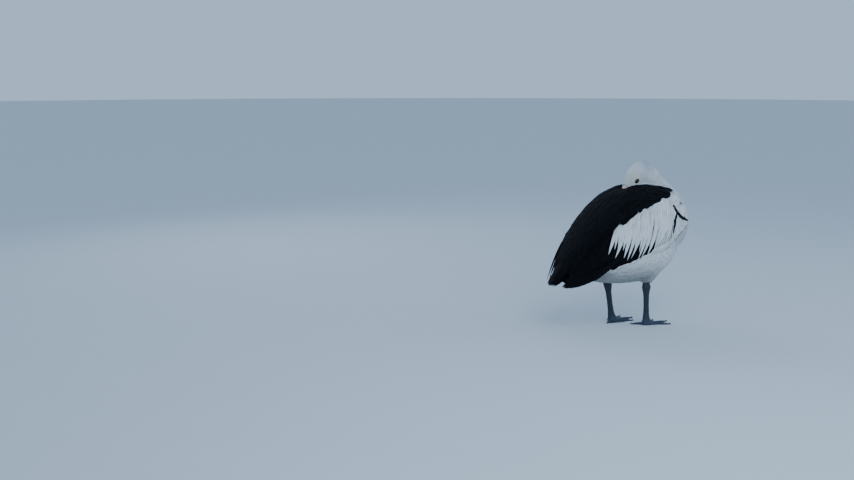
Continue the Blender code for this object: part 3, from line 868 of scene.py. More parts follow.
def is_dark(flat, label):
    """Where the plumage is black: scapulars, the wing's rear and its lower quills, the tail."""
    x, y, z = flat.T
    above, clear = z > np.interp(x, *CLOAK_EDGE), z < np.interp(x, *CLOAK_TOP)
    behind, inside = x < np.interp(z, *PANEL_REAR), z > np.interp(x, *BELLY_EDGE)
    tips = np.interp(x, *WHITE_TIPS)
    low = (z < tips + LOW_BAND) & np.where(x < BAND_FROM, inside, z > tips) & (x < 0.0)
    wing = np.isin(label, (WING, SCAPULARS)) & ((above & clear) | (behind & inside) | low)
    front = above & clear & (x > POINT_SPAN[0]) & (x < POINT_SPAN[1])
    front &= np.isin(label, (NECK, TRUNK)) & (np.abs(y) > POINT_CLEAR)
    rump = (label == TRUNK) & (x < RUMP[0]) & (z > RUMP[1])
    return wing | front | (label == PRIMARIES) & inside | rump | (label == TAIL)


def is_cloak(flat, label):
    """Where the black scapulars spring, and where they may lie."""
    return is_dark(flat, label) & (label != TAIL) & (flat[:, 0] > CLOAK_REAR)


def is_light(flat, label):
    return ~is_dark(flat, label)


def is_mantle(flat):
    """The white back of the neck, which lies over the scapulars."""
    return (flat[:, 2] > MANTLE[1]) & (flat[:, 0] > MANTLE[0])


def plumage(places, label):
    """The plumage's colour at these places, for skin and feathers alike, with shade painted onto
    the underside and the breast.
    """
    flat = places - HOME_ROW
    x, _, z = flat.T
    back, above = head_line(flat)
    # The low mask places painted shade, stronger towards the bottom and the rear of the body.
    low = smooth_step(0.32, 0.20, z) * smooth_step(0.16, 0.04, x)
    nape = smooth_step(0.035, 0.125, back) * smooth_step(-0.035, 0.025, above)
    upper = np.isin(label, (HEAD, NECK)) * smooth_step(0.50, 0.56, z)
    cheek = smooth_step(0.050, 0.018, np.hypot(back - 0.030, above + 0.004))
    # The breast mask places painted shade, deeper lower down the breast.
    breast = np.isin(label, (NECK, TRUNK)) * smooth_step(0.10, 0.22, x)
    colour = np.broadcast_to(WHITE, flat.shape)
    for tint, share in ((GREY_BLUE, 0.85 * nape * upper), (CREAM, 0.65 * cheek * (label == HEAD)),
                        (BELLY_SHADE, 0.85 * (low * np.isin(label, (TRUNK, WING, PRIMARIES)))),
                        (BREAST_SHADE, 0.50 * breast * smooth_step(0.50, 0.38, z)),
                        (BLACK, is_dark(flat, label) * 1.0), (PINK, (label == BILL) * 1.0)):
        colour = mix(colour, tint, share)
    return colour


def make_finishes():
    feather = {"Tint": tint_of, "Vane": vane_of}
    white = finish(
        "white_plumage", BARBS,
        {**feather, "Barbs": 42.0, "Slant": 0.45, "Shaft Width": 0.12,
         "Shaft Colour": (0.62, 0.64, 0.66), "Shaft Share": 0.30,
         "Edge Colour": (0.87, 0.88, 0.88), "Edge Share": 0.35, "Soil": 0.22},
        strength=0.35, Sheen_Weight=0.25, Sheen_Roughness=0.5)
    black = finish(
        "black_plumage", BARBS,
        {**feather, "Barbs": 90.0, "Slant": 0.60, "Shaft Width": 0.09,
         "Shaft Colour": (0.03, 0.03, 0.034), "Shaft Share": 0.30,
         "Edge Colour": (0.008, 0.008, 0.009), "Edge Share": 0.40, "Soil": 0.25},
        Specular_IOR_Level=0.06)
    skin = grained("feathered_skin", tint_of, (0.05, 0.045, 0.04), 260.0, 0.10, 0.12,
                   strength=0.3, roughness=0.8, Specular_IOR_Level=0.12)
    return white, black, skin


def paint_skin(skin, label, bare):
    colour = with_last(plumage(corners_of(skin.data), label) * 0.92, 1)
    tint = skin.data.attributes.new("tint", "FLOAT_COLOR", "POINT")
    tint.data.foreach_set("color", colour.astype(np.float32).ravel())
    skin.data.materials.append(bare)


# ---------------------------------------------------------------- the coat
def grow(ground, spacing, kinds, test, scale=None, **looks):
    """Lays feathers over the faces of these kinds. The scale is a function of their places."""
    roots = ground.scatter(spacing, kinds, test)
    if scale:
        roots["scale"] = scale(roots["flat"])
    return lay(ground, roots, **looks)


def side_roots(ground, xs, zs, side):
    """Roots on one flank, straight in from the side at these places in the bird's plane."""
    starts = np.stack([xs, np.full(len(xs), 0.4 * side), zs], 1) + HOME_ROW
    return ground.cast(starts, np.broadcast_to((0.0, -side, 0.0), starts.shape))


def down_coat(ground):
    """Broad soft feathers under the fine ones of head and neck, so that no gap shows."""
    def wanted(flat, label):
        return is_light(flat, label) & beyond_lids(flat) & (
            (label != SCAPULARS) | is_mantle(flat))

    return [grow(ground, 0.0046, [HEAD, NECK, SCAPULARS], wanted, length=(0.012, 0.016),
                 half=0.0036, outline=DOWN, splay=0.05, roll=0.02, low=0.55, high=0.82,
                 shade=0.01, within=is_light, beyond=0.002, least=0.2)]


def head_coat(ground):
    """Short plumes on the face, longer ones on the crown."""
    def face(flat, _):
        return beyond_lids(flat) & (head_line(flat)[0] < CROWN_FROM)

    def crown(flat, _):
        return head_line(flat)[0] >= CROWN_FROM

    def face_scale(flat):
        return 0.75 + 0.8 * smooth_step(0.0, CROWN_FROM, head_line(flat)[0])

    looks = dict(outline=PLUME, splay=0.07, roll=0.02, low=0.90, high=1.0, shade=0.015)
    return [grow(ground, 0.0016, [HEAD], face, face_scale, length=(0.0085, 0.0110),
                 half=0.00125, points=3, **looks),
            grow(ground, 0.0023, [HEAD], crown, length=(0.015, 0.020), half=0.0016, **looks)]


def crest(ground):
    """The soft tuft that peaks behind the crown."""
    def top(flat, _):
        x, y, z = flat.T
        return (np.hypot(x - 0.052, z - 0.664) < 0.030) & (np.abs(y) < 0.030)

    roots = ground.scatter(0.0030, [HEAD, NECK], top)
    reach = (CREST_PEAK - roots["flat"]) * np.array((1.0, 0.8, 1.0))
    aim = unit(unit(reach) * 0.55 + lie_at(BODY_LIE, roots["place"]) * 0.8)
    return [lay(ground, roots, aim=aim, length=(0.018, 0.026), half=0.0013, points=5,
                outline=PLUME, splay=0.05, roll=0.04, cling=0.55, low=0.8, high=1.3)]


def neck_coat(ground):
    def wanted(flat, label):
        return is_light(flat, label) & ((label == NECK) | is_mantle(flat))

    def longer_below(flat):
        return 0.8 + 0.8 * smooth_step(0.58, 0.42, flat[:, 2])

    return [grow(ground, 0.0031, [NECK, SCAPULARS], wanted, longer_below,
                 length=(0.018, 0.024), half=0.0023, outline=PLUME, splay=0.06, roll=0.02,
                 low=0.90, high=1.0, shade=0.02, within=is_light, beyond=0.005, least=0.2)]


def body_coat(ground, front):
    """The contour feathers of breast or belly. Front picks the half ahead of the legs."""
    def wanted(flat, label):
        x, _, z = flat.T
        under = z < np.interp(x, *WHITE_TIPS) + 0.010
        under &= (label != PRIMARIES) | (z < np.interp(x, *BELLY_EDGE))
        return ((x > LEGS_AT) == front) & is_light(flat, label) & ((label == TRUNK) | under)

    def short_at_legs(flat):
        x, _, z = flat.T
        return 1.0 - 0.55 * (smooth_step(0.190, 0.165, z) * (np.abs(x) < 0.09))

    return [grow(ground, 0.0052, [TRUNK, WING, PRIMARIES], wanted, short_at_legs,
                 length=(0.028, 0.036), half=0.0062, points=5, splay=0.09, roll=0.02,
                 low=0.88, high=1.0, shade=0.02)]


def tail_coverts(ground):
    """The long feathers over and under the root of the tail, white ones and black ones."""
    def light(flat, label):
        return (flat[:, 0] < -0.19) & is_light(flat, label)

    def dark(flat, label):
        inner = (label != PRIMARIES) | (np.abs(flat[:, 1]) < 0.070)
        return (flat[:, 0] > -0.37) & is_dark(flat, label) & inner

    looks = dict(outline=LANCE, points=6, cling=0.9, follow=0.4)
    white = grow(ground, 0.0085, [TRUNK], light, length=(0.045, 0.065), half=0.0075, low=0.6,
                 high=1.0, **looks)
    black = grow(ground, 0.0085, [TRUNK, TAIL, PRIMARIES], dark, length=(0.040, 0.055),
                 half=0.0085, low=0.5, high=0.9, tint=BLACK, within=dark, beyond=0.010,
                 least=0.3, **looks)
    return [white], [black]


def small_coverts(ground, side):
    """The rounded white feathers over the bend of the wing and the shoulder."""
    def bend(flat, label):
        return is_light(flat, label) & (flat[:, 0] > 0.095) & (flat[:, 1] * side > 0)

    def under(flat, label):
        x, y, z = flat.T
        over = z - np.interp(x, *WHITE_TIPS)
        return is_light(flat, label) & (over > 0) & (over < 0.10) & (
            (y * side > 0) & (x > -0.175))

    def longer_behind(flat):
        return 0.8 + 0.6 * smooth_step(0.20, 0.11, flat[:, 0])

    looks = dict(lie=WING_LIE, points=5, roll=0.04, tint=WHITE, shade=0.02)
    return [grow(ground, 0.0080, [WING], under, length=(0.030, 0.040), half=0.0070, low=0.05,
                 high=0.38, within=is_light, beyond=0.003, **looks),
            grow(ground, 0.0056, [WING, SCAPULARS], bend, longer_behind,
                 length=(0.022, 0.030), half=0.0054, low=0.75, high=1.0, **looks)]


def hanging_row(ground, side, tips, span, pitch, length, aim, lift, rear=None, **looks):
    """A row of feathers whose tips end along a line on the flank. Those that would start
    above the cloak's edge start a little way under it instead, and are shorter."""
    rng = ground.rng
    xs = np.arange(*span, pitch) + rng.uniform(0, pitch)
    xs = xs + rng.normal(0, 0.0016, len(xs))
    zs = np.interp(xs, *tips) + lift + rng.normal(0, 0.004, len(xs))
    reach = length * rng.uniform(0.92, 1.08, len(xs))
    for _ in range(3):
        top = np.interp(xs - aim[0] * reach, *CLOAK_EDGE) + 0.014
        reach = np.minimum(reach, (top - zs) / -aim[1])
    kept = reach > 0.4 * length
    if rear is not None:
        kept &= xs - aim[0] * reach > np.interp(zs - aim[1] * reach, *rear) + 0.008
    xs, zs, reach = xs[kept], zs[kept], reach[kept]
    roots = side_roots(ground, xs - aim[0] * reach, zs - aim[1] * reach, side)
    ends = side_roots(ground, xs, zs, side)
    _, first, second = np.intersect1d(roots["index"], ends["index"], return_indices=True)
    roots = picked(roots, first)
    way = ends["place"][second] - roots["place"]
    roots["scale"] = np.linalg.norm(way, axis=1) * 1.01
    return lay(ground, roots, length=(1.0, 1.0), aim=way, points=8, roll=0.05, **looks)


# Rows of the white panel from the top down: lift above the tips' line, pitch, half width,
# length, and how far root and tip stand off the skin.
PANEL_ROWS = (
    (0.158, 0.0085, 0.0050, 0.070, 0.35, 0.80), (0.132, 0.0090, 0.0052, 0.080, 0.36, 0.84),
    (0.106, 0.0095, 0.0055, 0.090, 0.38, 0.88), (0.080, 0.0105, 0.0059, 0.100, 0.40, 0.92),
    (0.056, 0.0125, 0.0066, 0.105, 0.44, 0.97), (0.034, 0.0160, 0.0074, 0.110, 0.48, 1.03),
    (0.000, 0.0235, 0.0082, 0.120, 0.52, 1.10),
)


def long_coverts(ground, side):
    """The white panel: rows of long lance-shaped feathers that hang down the folded wing."""
    rows = []
    for lift, pitch, half, reach, low, high in PANEL_ROWS:
        row = hanging_row(ground, side, WHITE_TIPS, (-0.205, 0.165), pitch, reach,
                          (-0.28, -0.96), lift, rear=PANEL_REAR, half=half, outline=LANCE,
                          low=low, high=high, cling=0.95, splay=0.045, bend=0.015, tint=WHITE,
                          shade=0.03)
        x, _, z = np.moveaxis(row["place"] - HOME_ROW, 2, 0)
        stray = (x < np.interp(z, *PANEL_REAR) - 0.010) & (z > 0.35)
        rows.append(picked(row, ~stray.any(1)))
    return rows


def dark_coverts(ground, side):
    """The black feathers that show below the white panel, and those of the wing's rear."""
    def rear(flat, label):
        x, y, z = flat.T
        below = z < np.interp(x, *WHITE_TIPS) + 0.050
        return is_cloak(flat, label) & ((x < -0.150) | below) & (y * side > 0)

    looks = dict(cling=0.9, splay=0.05, low=0.2, tint=BLACK, shade=0.15)
    rows = [hanging_row(ground, side, BLACK_TIPS, (-0.250, -0.058), pitch, reach,
                        (-0.25, -0.97), lift, half=0.0115, outline=LANCE, high=high, **looks)
            for lift, pitch, reach, high in ((0.045, 0.017, 0.10, 0.50),
                                             (0.020, 0.019, 0.11, 0.56),
                                             (0.0, 0.022, 0.12, 0.62))]
    roots = ground.scatter(0.0125, [WING, PRIMARIES], rear)
    hidden = (roots["flat"][:, 0] > -0.205) & (roots["flat"][:, 2] < 0.40)
    for some, high in ((hidden, 0.45), (~hidden, 0.90)):
        rows.append(lay(ground, picked(roots, some), lie=WING_LIE, length=(0.060, 0.082),
                        half=0.0110, points=8, outline=QUILL, follow=0.3, roll=0.05,
                        high=high, within=is_cloak, beyond=0.010, least=0.35, **looks))
    return rows


# The dark fork at the wing's bend, and a grey line of painted shadow: half width, tint, and a
# line of x and z.
FORK = (
    (0.0078, BLACK, ((0.098, 0.506), (0.112, 0.480), (0.132, 0.462), (0.165, 0.448),
                     (0.200, 0.437))),
    (0.0082, BLACK, ((0.108, 0.474), (0.099, 0.450), (0.092, 0.424), (0.087, 0.396))),
    # Painted shadow: a short streak of grey quills above the fork.
    (0.0024, np.array((0.16, 0.17, 0.18)), ((0.130, 0.512), (0.148, 0.508), (0.166, 0.509))),
)


def fork(ground, side):
    """Small dark quills in a forked line where the wing's bend lets them through, and grey ones
    as painted shadow.
    """
    batches = []
    for half, tint, line in FORK:
        line = np.array(line)
        reach = np.concatenate([[0], np.cumsum(np.linalg.norm(np.diff(line, axis=0), axis=1))])

        def spot(at):
            return np.array((np.interp(at, reach, line[:, 0]), 0,
                             np.interp(at, reach, line[:, 1])))

        for at in np.arange(0, reach[-1] - 0.012, 0.0055):
            here, ahead = spot(at), spot(at + 0.010)
            taper = 1.1 - 1.6 * abs(at / reach[-1] - 0.3) ** 1.2
            batches.append(lay(
                ground, side_roots(ground, here[:1], here[2:], side), aim=unit(ahead - here),
                length=(0.017, 0.026), half=half * max(taper, 0.3), points=6, outline=LANCE,
                splay=0.14, low=1.02, high=1.16, tint=tint))
    return batches


def blades(ground, starts, ends, facing, half, points=7, outline=QUILL, bow=0.003):
    """Stiff black quills from place to place in the bird's own frame, bowed outwards."""
    starts, ends = np.array(starts, float) + HOME_ROW, np.array(ends, float) + HOME_ROW
    along, shaft = np.linspace(0, 1, points), unit(ends - starts)
    facing = along_ground(unit(np.broadcast_to(np.array(facing, float), shaft.shape)), shaft)
    facing = turned(facing, shaft, ground.rng.normal(0, 0.04, len(starts)))
    places = starts[:, None] + (ends - starts)[:, None] * along[:, None]
    places = places + facing[:, None] * (bow * np.sin(math.pi * along))[:, None]
    return shafts(ground.rng, places, np.broadcast_to(facing[:, None], places.shape), along,
                  outline, half, 0.08, BLACK, 0.12, ground.nearest(starts)["uv"])


# The folded wing's outer face at its rear end: x, then how far out it stands.
WING_FACE = ((-0.400, -0.380, -0.340, -0.300, -0.260, -0.220, -0.180),
             (0.048, 0.054, 0.069, 0.085, 0.103, 0.120, 0.131))
# The tips of the wing's last quills: x and z.
QUILL_TIPS = ((-0.393, 0.199), (-0.387, 0.194), (-0.376, 0.192), (-0.362, 0.192),
              (-0.345, 0.195), (-0.326, 0.200), (-0.305, 0.208), (-0.284, 0.217))
QUILL_SHOWN = 0.150


def primaries(ground, side):
    """The folded quills of the wing tip, one over the other, and the slim ones behind."""
    def out(x, more):
        return side * (np.interp(x, *WING_FACE) + more)

    starts, ends = [], []
    for i, (x, z) in enumerate(QUILL_TIPS):
        lean = math.radians(25 + 2.0 * i)
        root, more = x + QUILL_SHOWN * math.cos(lean), -0.001 + 0.0011 * i
        starts.append((root, out(root, more - 0.004), z + QUILL_SHOWN * math.sin(lean)))
        ends.append((x, out(x, more), z))
    fan = blades(ground, starts, ends, (0.15, side, 0.12), 0.0125, points=8)
    if side < 0:
        return [fan]
    slim = blades(ground, [(-0.306, 0.070, 0.362), (-0.296, 0.073, 0.350)],
                  [(-0.388, 0.062, 0.205), (-0.374, 0.066, 0.208)],
                  (0.15, 1, 0.12), 0.0052, outline=LANCE, bow=0.006)
    return [fan, slim]


# Roots of the feathers in the cloak's front point, where it runs out over the neck.
CLOAK_POINT = ((0.170, 0.5580), (0.160, 0.5620), (0.159, 0.5565), (0.149, 0.5655),
               (0.147, 0.5570), (0.136, 0.5665), (0.134, 0.5560), (0.122, 0.5690),
               (0.120, 0.5590), (0.118, 0.5510), (0.106, 0.5520))
CLOAK_AIM = np.array((-1.0, 0.0, -0.03))


def scapulars(ground, side):
    """The long black feathers that arch over the back and hide the bill."""
    def own(flat, label):
        return is_cloak(flat, label) & (flat[:, 1] * side > -0.004)

    roots = ground.scatter(0.0105, [SCAPULARS, NECK, TRUNK], own)
    roots["scale"] = 0.55 + 0.45 * smooth_step(0.18, 0.02, roots["flat"][:, 0])
    looks = dict(half=0.0092, points=7, splay=0.03, roll=0.03, tint=BLACK)
    point = lay(ground, side_roots(ground, *np.array(CLOAK_POINT).T, side), aim=CLOAK_AIM,
                length=(0.050, 0.062), low=1.0, high=1.3, **looks)
    main = lay(ground, roots, lie=CLOAK_LIE, length=(0.072, 0.098), half=0.0108, points=8,
               outline=QUILL, cling=0.92, follow=0.35, splay=0.07, roll=0.05, low=0.5,
               high=1.0, tint=BLACK, shade=0.15, within=is_cloak, beyond=0.010, least=0.3)
    if side < 0:
        return [point, main]
    # A hem over the left flank's edge, where the scattered feathers leave a gap.
    xs = np.arange(0.050, 0.150, 0.010)
    roots = side_roots(ground, xs, np.interp(xs, *CLOAK_EDGE) + 0.013, side)
    roots["depth"] = np.full(len(roots["depth"]), 0.0085)
    hem = lay(ground, roots, aim=unit(np.array((-1.0, 0.0, -0.16))), length=(0.046, 0.056),
              outline=QUILL, low=0.95, high=1.2, rng=np.random.default_rng(7), **looks)
    return [point, main, hem]


def rump_drape(ground):
    """Rows of smooth feathers that fall from the back over the root of the tail."""
    batches = []
    for start, end, wide, narrowing, half in (
            ((-0.296, 0.379), (-0.354, 0.297), 0.074, 0.92, 0.0125),
            ((-0.322, 0.342), (-0.369, 0.258), 0.066, 0.80, 0.0120),
            ((-0.338, 0.302), (-0.396, 0.230), 0.046, 0.45, 0.0105)):
        y = np.linspace(-wide, wide, 9)
        starts = np.stack([start[0] + 0 * y, y, start[1] - 5.0 * y ** 2], 1)
        ends = np.stack([end[0] + 2.0 * y ** 2, narrowing * y, end[1] - 6.0 * y ** 2], 1)
        facing = np.stack([-0.70 + 0 * y, 9.0 * y, 0.70 + 0 * y], 1)
        batches.append(blades(ground, starts, ends, facing, half, outline=CONTOUR, bow=0.004))
    return batches


def tail_quills(ground):
    """The folded tail: a narrow, drooping fan, above and below."""
    share = np.linspace(-1, 1, 8)
    batches = []
    for lift, up, stack in ((0.006, 1, 0.005), (-0.005, -1, -0.003)):
        height = lift + stack * (1 - np.abs(share))
        starts = np.stack([-0.296 + 0 * share, 0.040 * share, 0.268 + height], 1)
        ends = np.stack([-0.420 + 0.010 * share ** 2, 0.020 * share,
                         0.202 + 0.5 * height - 0.003 * share ** 2], 1)
        facing = np.stack([-0.40 + 0 * share, 0.25 * share, 0.90 + 0 * share], 1) * up
        batches.append(blades(ground, starts, ends, facing, 0.0100, bow=0.005 * up))
    return batches


# ---------------------------------------------------------------- eyes, bill, legs
def loft(name, rings):
    """A closed form through rings of points, fanned shut at both ends."""
    form = bmesh.new()
    loops = bridge(form, rings)
    for loop in (loops[0], loops[-1]):
        centre = form.verts.new(sum((v.co for v in loop), Vector()) / len(loop))
        for i in range(len(loop)):
            form.faces.new((loop[i], loop[(i + 1) % len(loop)], centre))
    return formed(name, form)


def eyeball(name, centre, side):
    """The ball, its poles at the pupil and opposite it."""
    rings = []
    for turn in np.linspace(0.02, math.pi - 0.02, 33):
        radius, out = EYE_RADIUS * math.sin(turn), EYE_RADIUS * math.cos(turn)
        rings.append([centre + Vector((radius * math.cos(a), out * side, radius * math.sin(a)))
                      for a in circle(48)])
    return loft(name, rings)


def iris_of(centre):
    """A dark iris round a black pupil, darker again at its rim."""
    def colour(tree):
        offset = vector_maths("SUBTRACT", place_of(tree), centre)[0]
        x, _, z = parts_of(offset)
        radius = maths("SQRT", maths("ADD", maths("POWER", x, 2.0), maths("POWER", z, 2.0)))
        iris = blended(noise(offset, 900.0, 3.0), (0.008, 0.005, 0.004), (0.024, 0.012, 0.007))
        inner = blended(ramped(radius, 0.0031, 0.0036), (0.002, 0.002, 0.002), iris)
        return blended(ramped(radius, 0.0056, 0.0066), inner, (0.012, 0.009, 0.008))

    return colour

# Rings of each lid from the ball outwards: reach along the head and across it, height, and
# how far the height follows the skin.
LID_RINGS = (
    (0.0070, 0.0059, 0.0040, 0), (0.0075, 0.0064, 0.0050, 0), (0.0084, 0.0071, 0.0054, 0.1),
    (0.0095, 0.0080, 0.0050, 0.4), (0.0106, 0.0089, 0.0044, 0.8), (*LID_MARGIN, 0.0038, 1),
    (*LID_REACH, 0.0034, 1), (0.0135, 0.0115, 0.0004, 1), (0.0120, 0.0101, -0.001, 1),
)


def eyelids(name, centre, side, ground):
    """Two bare, wrinkled lids round the ball. They stand proud of it and run out onto the
    skin round it."""
    rings = []
    for wide, tall, out, share in LID_RINGS:
        ring = []
        for turn in circle(72):
            crease = LID_CREASE * math.sin(turn * 19 + 3 * wide * 900) * (out > 0.001)
            point = centre + HEAD_BACK * (wide * math.cos(turn)) + HEAD_UP * (
                tall * math.sin(turn))
            spot = ground.tree.ray_cast(point + ACROSS * (0.025 * side), ACROSS * -side)[0]
            level = (spot.y - centre.y) * side + out if spot else out
            rise = out + (level - out) * share + crease
            ring.append(point + ACROSS * (side * rise))
        rings.append(ring)
    form = bmesh.new()
    bridge(form, rings, closed=True)
    return formed(name, form)


def lid_colour(tree):
    """Dark at the lids' margins, yellow outside them."""
    offset = vector_maths("SUBTRACT", place_of(tree), middle_of("eye_left"))[0]
    shares = [vector_maths("DOT_PRODUCT", offset, axis / reach)["Value"]
              for axis, reach in zip((HEAD_BACK, HEAD_UP), LID_MARGIN)]
    reach = maths("SQRT", maths("ADD", *(times(share, share) for share in shares)))
    return blended(ramped(reach, 0.95, 1.05), (0.006, 0.005, 0.005), (0.70, 0.60, 0.32))


def make_eyes(ground):
    bare = grained("orbital_skin", lid_colour, (0.03, 0.022, 0.012), 1500.0, 0.20, 0.20,
                   strength=0.4, distance=0.0002, roughness=0.45, Specular_IOR_Level=0.12)
    for name in SIDES:
        node = "eye_" + name
        centre = middle_of(node)
        side = 1 if centre.y > 0 else -1
        iris = material("iris_" + name, iris_of(centre), roughness=0.12, Coat_Weight=0.5,
                        Coat_Roughness=0.03, IOR=1.38)[0]
        finish_piece(eyeball("ball_" + name, centre, side), "eye", node, look=iris)
        finish_piece(eyelids("lids_" + name, centre, side, ground), "bill", look=bare)

# Stations as shares of the bill's length: half width as a share of the bill's width, then how
# far it rises and falls from the gape line.
BILL_UPPER = (
    (-0.05, 0.46, 0.0120, 0.0018), (0.00, 0.50, 0.0130, 0.0020), (0.06, 0.48, 0.0125, 0.0020),
    (0.30, 0.34, 0.0085, 0.0018), (0.60, 0.27, 0.0062, 0.0016), (0.85, 0.33, 0.0060, 0.0018),
    (0.95, 0.29, 0.0056, 0.0030), (1.00, 0.10, 0.0030, 0.0090),
)
BILL_LOWER = (
    (-0.05, 0.41, 0.0290), (0.00, 0.43, 0.0310), (0.08, 0.44, 0.0330), (0.30, 0.32, 0.0270),
    (0.60, 0.24, 0.0150), (0.85, 0.27, 0.0090), (0.97, 0.15, 0.0050),
)


def smooth_rows(stations, count):
    """The rows read at even steps along smooth curves."""
    rows = np.array(stations, float)
    rows = np.vstack([2 * rows[0] - rows[1], rows, 2 * rows[-1] - rows[-2]])
    made = []
    for at in np.linspace(0, len(stations) - 1, count):
        i = min(int(at), len(stations) - 2)
        t = at - i
        a, b, c, d = rows[i:i + 4]
        made.append(0.5 * (2 * b + (c - a) * t + (2 * a - 5 * b + 4 * c - d) * t * t
                           + (3 * b - a - 3 * c + d) * t ** 3))
    return made


def bill_ring(share, half, rise, fall, relief):
    """A ring of the bill, seen along it, with the relief of its surface."""
    centre = HOME + BILL_ROOT - HEAD_BACK * (share * BILL_LENGTH)
    ring = []
    for turn in circle(48):
        up = math.cos(turn)
        height = up * (rise if up > 0 else fall)
        wide = math.sin(turn) * half * BILL_WIDTH
        point = HEAD_UP * height + ACROSS * wide
        ring.append(centre + point * (1 + relief(turn)))
    return ring


def culmen(turn):
    """A ridge along the top with a groove to each side of it."""
    off = abs((turn + math.pi) % (2 * math.pi) - math.pi)
    return 0.07 * math.exp(-(off / 0.22) ** 2) - 0.07 * math.exp(-((off - 0.52) / 0.14) ** 2)


def pouch_folds(turn):
    """Soft pleats in the skin slung under the jaw."""
    below = max(0.0, -math.cos(turn))
    return 0.025 * below * math.sin(turn * 22)


def horn_colour(tree):
    """Pink and streaked at the root, greyer towards the tip."""
    height = parts_of(place_of(tree))[2]
    far = ramped(height, HOME.z + 0.47, HOME.z + 0.57, 1.0, 0.0)
    base = blended(noise(place_of(tree), 55.0, 3.0), (0.60, 0.33, 0.36), (0.72, 0.50, 0.46))
    return blended(far, base, (0.55, 0.52, 0.50))


def pouch_colour(tree):
    return blended(noise(place_of(tree), 70.0, 4.0), (0.62, 0.34, 0.36), (0.74, 0.52, 0.42))


def make_bill():
    upper = loft("upper_mandible", [bill_ring(*row, culmen)
                                    for row in smooth_rows(BILL_UPPER, 60)])
    lower = loft("lower_mandible", [bill_ring(share, half, 0.0005, fall, pouch_folds)
                                    for share, half, fall in smooth_rows(BILL_LOWER, 48)])
    finish_piece(upper, "bill", "bill_upper", look=grained(
        "bill_horn", horn_colour, (0.40, 0.26, 0.26), 130.0, 0.25, 0.25, strength=0.25,
        roughness=0.4, Coat_Weight=0.15, Coat_Roughness=0.3))
    finish_piece(lower, "bill", "bill_lower", look=grained(
        "pouch_skin", pouch_colour, (0.42, 0.24, 0.22), 300.0, 0.4, 0.3, strength=0.4,
        roughness=0.5))

LEG_VOXEL = 0.00115
MIDDLE_TOE = 0.114
PLATE_SIZE = 0.0034  # the scaly plates of leg and web, and their grooves' depth
PLATE_GROOVE = 0.00045
SCUTE_PITCH = 0.0042  # the bands across the toes, and their grooves' depth
SCUTE_GROOVE = 0.0006
TOES = ((-30, 0.90), (0, 1.0), (31, 0.80), (146, 0.54))  # turn, and share of the middle toe


def heel_of(name):
    """Where the toes meet on the ground."""
    return np.array((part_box("foot_" + name)[1].x - MIDDLE_TOE, middle_of("leg_" + name).y, 0))


def toe_lines(name):
    """Each toe's direction, the direction across it and its length."""
    for angle, share in TOES:
        turn = math.radians(angle) * -SIDES[name]
        ahead, aside = math.cos(turn), math.sin(turn)
        yield np.array((ahead, aside, 0)), np.array((-aside, ahead, 0)), share * MIDDLE_TOE


def plate_relief(points, spacing, depth, rng):
    """How far each point sinks towards the grooves between scattered plates."""
    chosen = spread_out(points, rng.permutation(len(points)), spacing)
    seeds = KDTree(len(chosen))
    for i in chosen:
        seeds.insert(points[i], i)
    seeds.balance()
    gap = np.array([np.diff([d for _, _, d in seeds.find_n(p, 2)])[0] for p in points])
    return depth * (smooth_step(0.0, 0.35 * spacing, gap) - 1)


def toe_scutes(points, name):
    """Bands across the top of each toe: 0 in the grooves, and how near a toe each point is."""
    band, near = np.zeros(len(points)), np.zeros(len(points))
    for aim, across, reach in toe_lines(name):
        offset = points - heel_of(name)
        along, aside = offset @ aim, np.abs(offset @ across)
        on = smooth_step(0.0085, 0.0055, aside) * (along > 0.012) * (along < reach * 0.97)
        band = np.maximum(band, on * np.abs(np.sin(along * math.pi / SCUTE_PITCH)) ** 0.5)
        near = np.maximum(near, on)
    return band, near


# Rings of the knuckle, where the shank flares into the toes: height, half depth, half width
# and how far ahead of the shank it lies.
KNUCKLE = ((0.0030, 0.0330, 0.0230, 0.010), (0.0100, 0.0270, 0.0190, 0.007),
           (0.0190, 0.0205, 0.0140, 0.003), (0.0300, 0.0165, 0.0105, 0.001),
           (0.0420, 0.0150, 0.0090, 0.0))


def add_knuckle(leg, name):
    """Fills the place where the solids of leg and foot stand one on the other."""
    shank = [v.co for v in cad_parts["leg_" + name].data.vertices]
    low, high = min(corner.z for corner in shank), max(corner.z for corner in shank)
    ankle, knee = (sum(ring, Vector()) / len(ring) for ring in (
        [corner for corner in shank if corner.z < low + 0.004],
        [corner for corner in shank if corner.z > high - 0.02]))
    slope = (knee - ankle) / (knee.z - ankle.z)
    rings = []
    for z, deep, wide, ahead in KNUCKLE:
        middle = ankle + slope * (z - ankle.z)
        rings.append([(middle.x + ahead + deep * math.cos(a), middle.y + wide * math.sin(a), z)
                      for a in circle(24)])
    form = bmesh.new()
    form.from_mesh(leg.data)
    loops = bridge(form, rings)
    form.faces.new(loops[0][::-1])
    form.faces.new(loops[-1])
    form.to_mesh(leg.data)
    form.free()


def make_leg(name, look, rng):
    """Tarsus, toes and webs as one scaly skin."""
    nodes = ("leg_" + name, "foot_" + name)
    leg = node_copy("limb_" + name, nodes)
    add_knuckle(leg, name)
    remeshed(leg, LEG_VOXEL, 6)
    points, normals = corners_of(leg.data), corners_of(leg.data, "normal")
    band, near = toe_scutes(points, name)
    relief = plate_relief(points, PLATE_SIZE, PLATE_GROOVE, rng)
    relief = relief * (1 - near) + near * (band - 1) * SCUTE_GROOVE
    relief *= smooth_step(0.0002, 0.0012, points[:, 2])
    points += normals * relief[:, None]
    points[:, 2] = np.maximum(points[:, 2], 0.0)
    move_corners(leg.data, points)
    finish_piece(leg, "scaly_skin", *nodes, look=look)


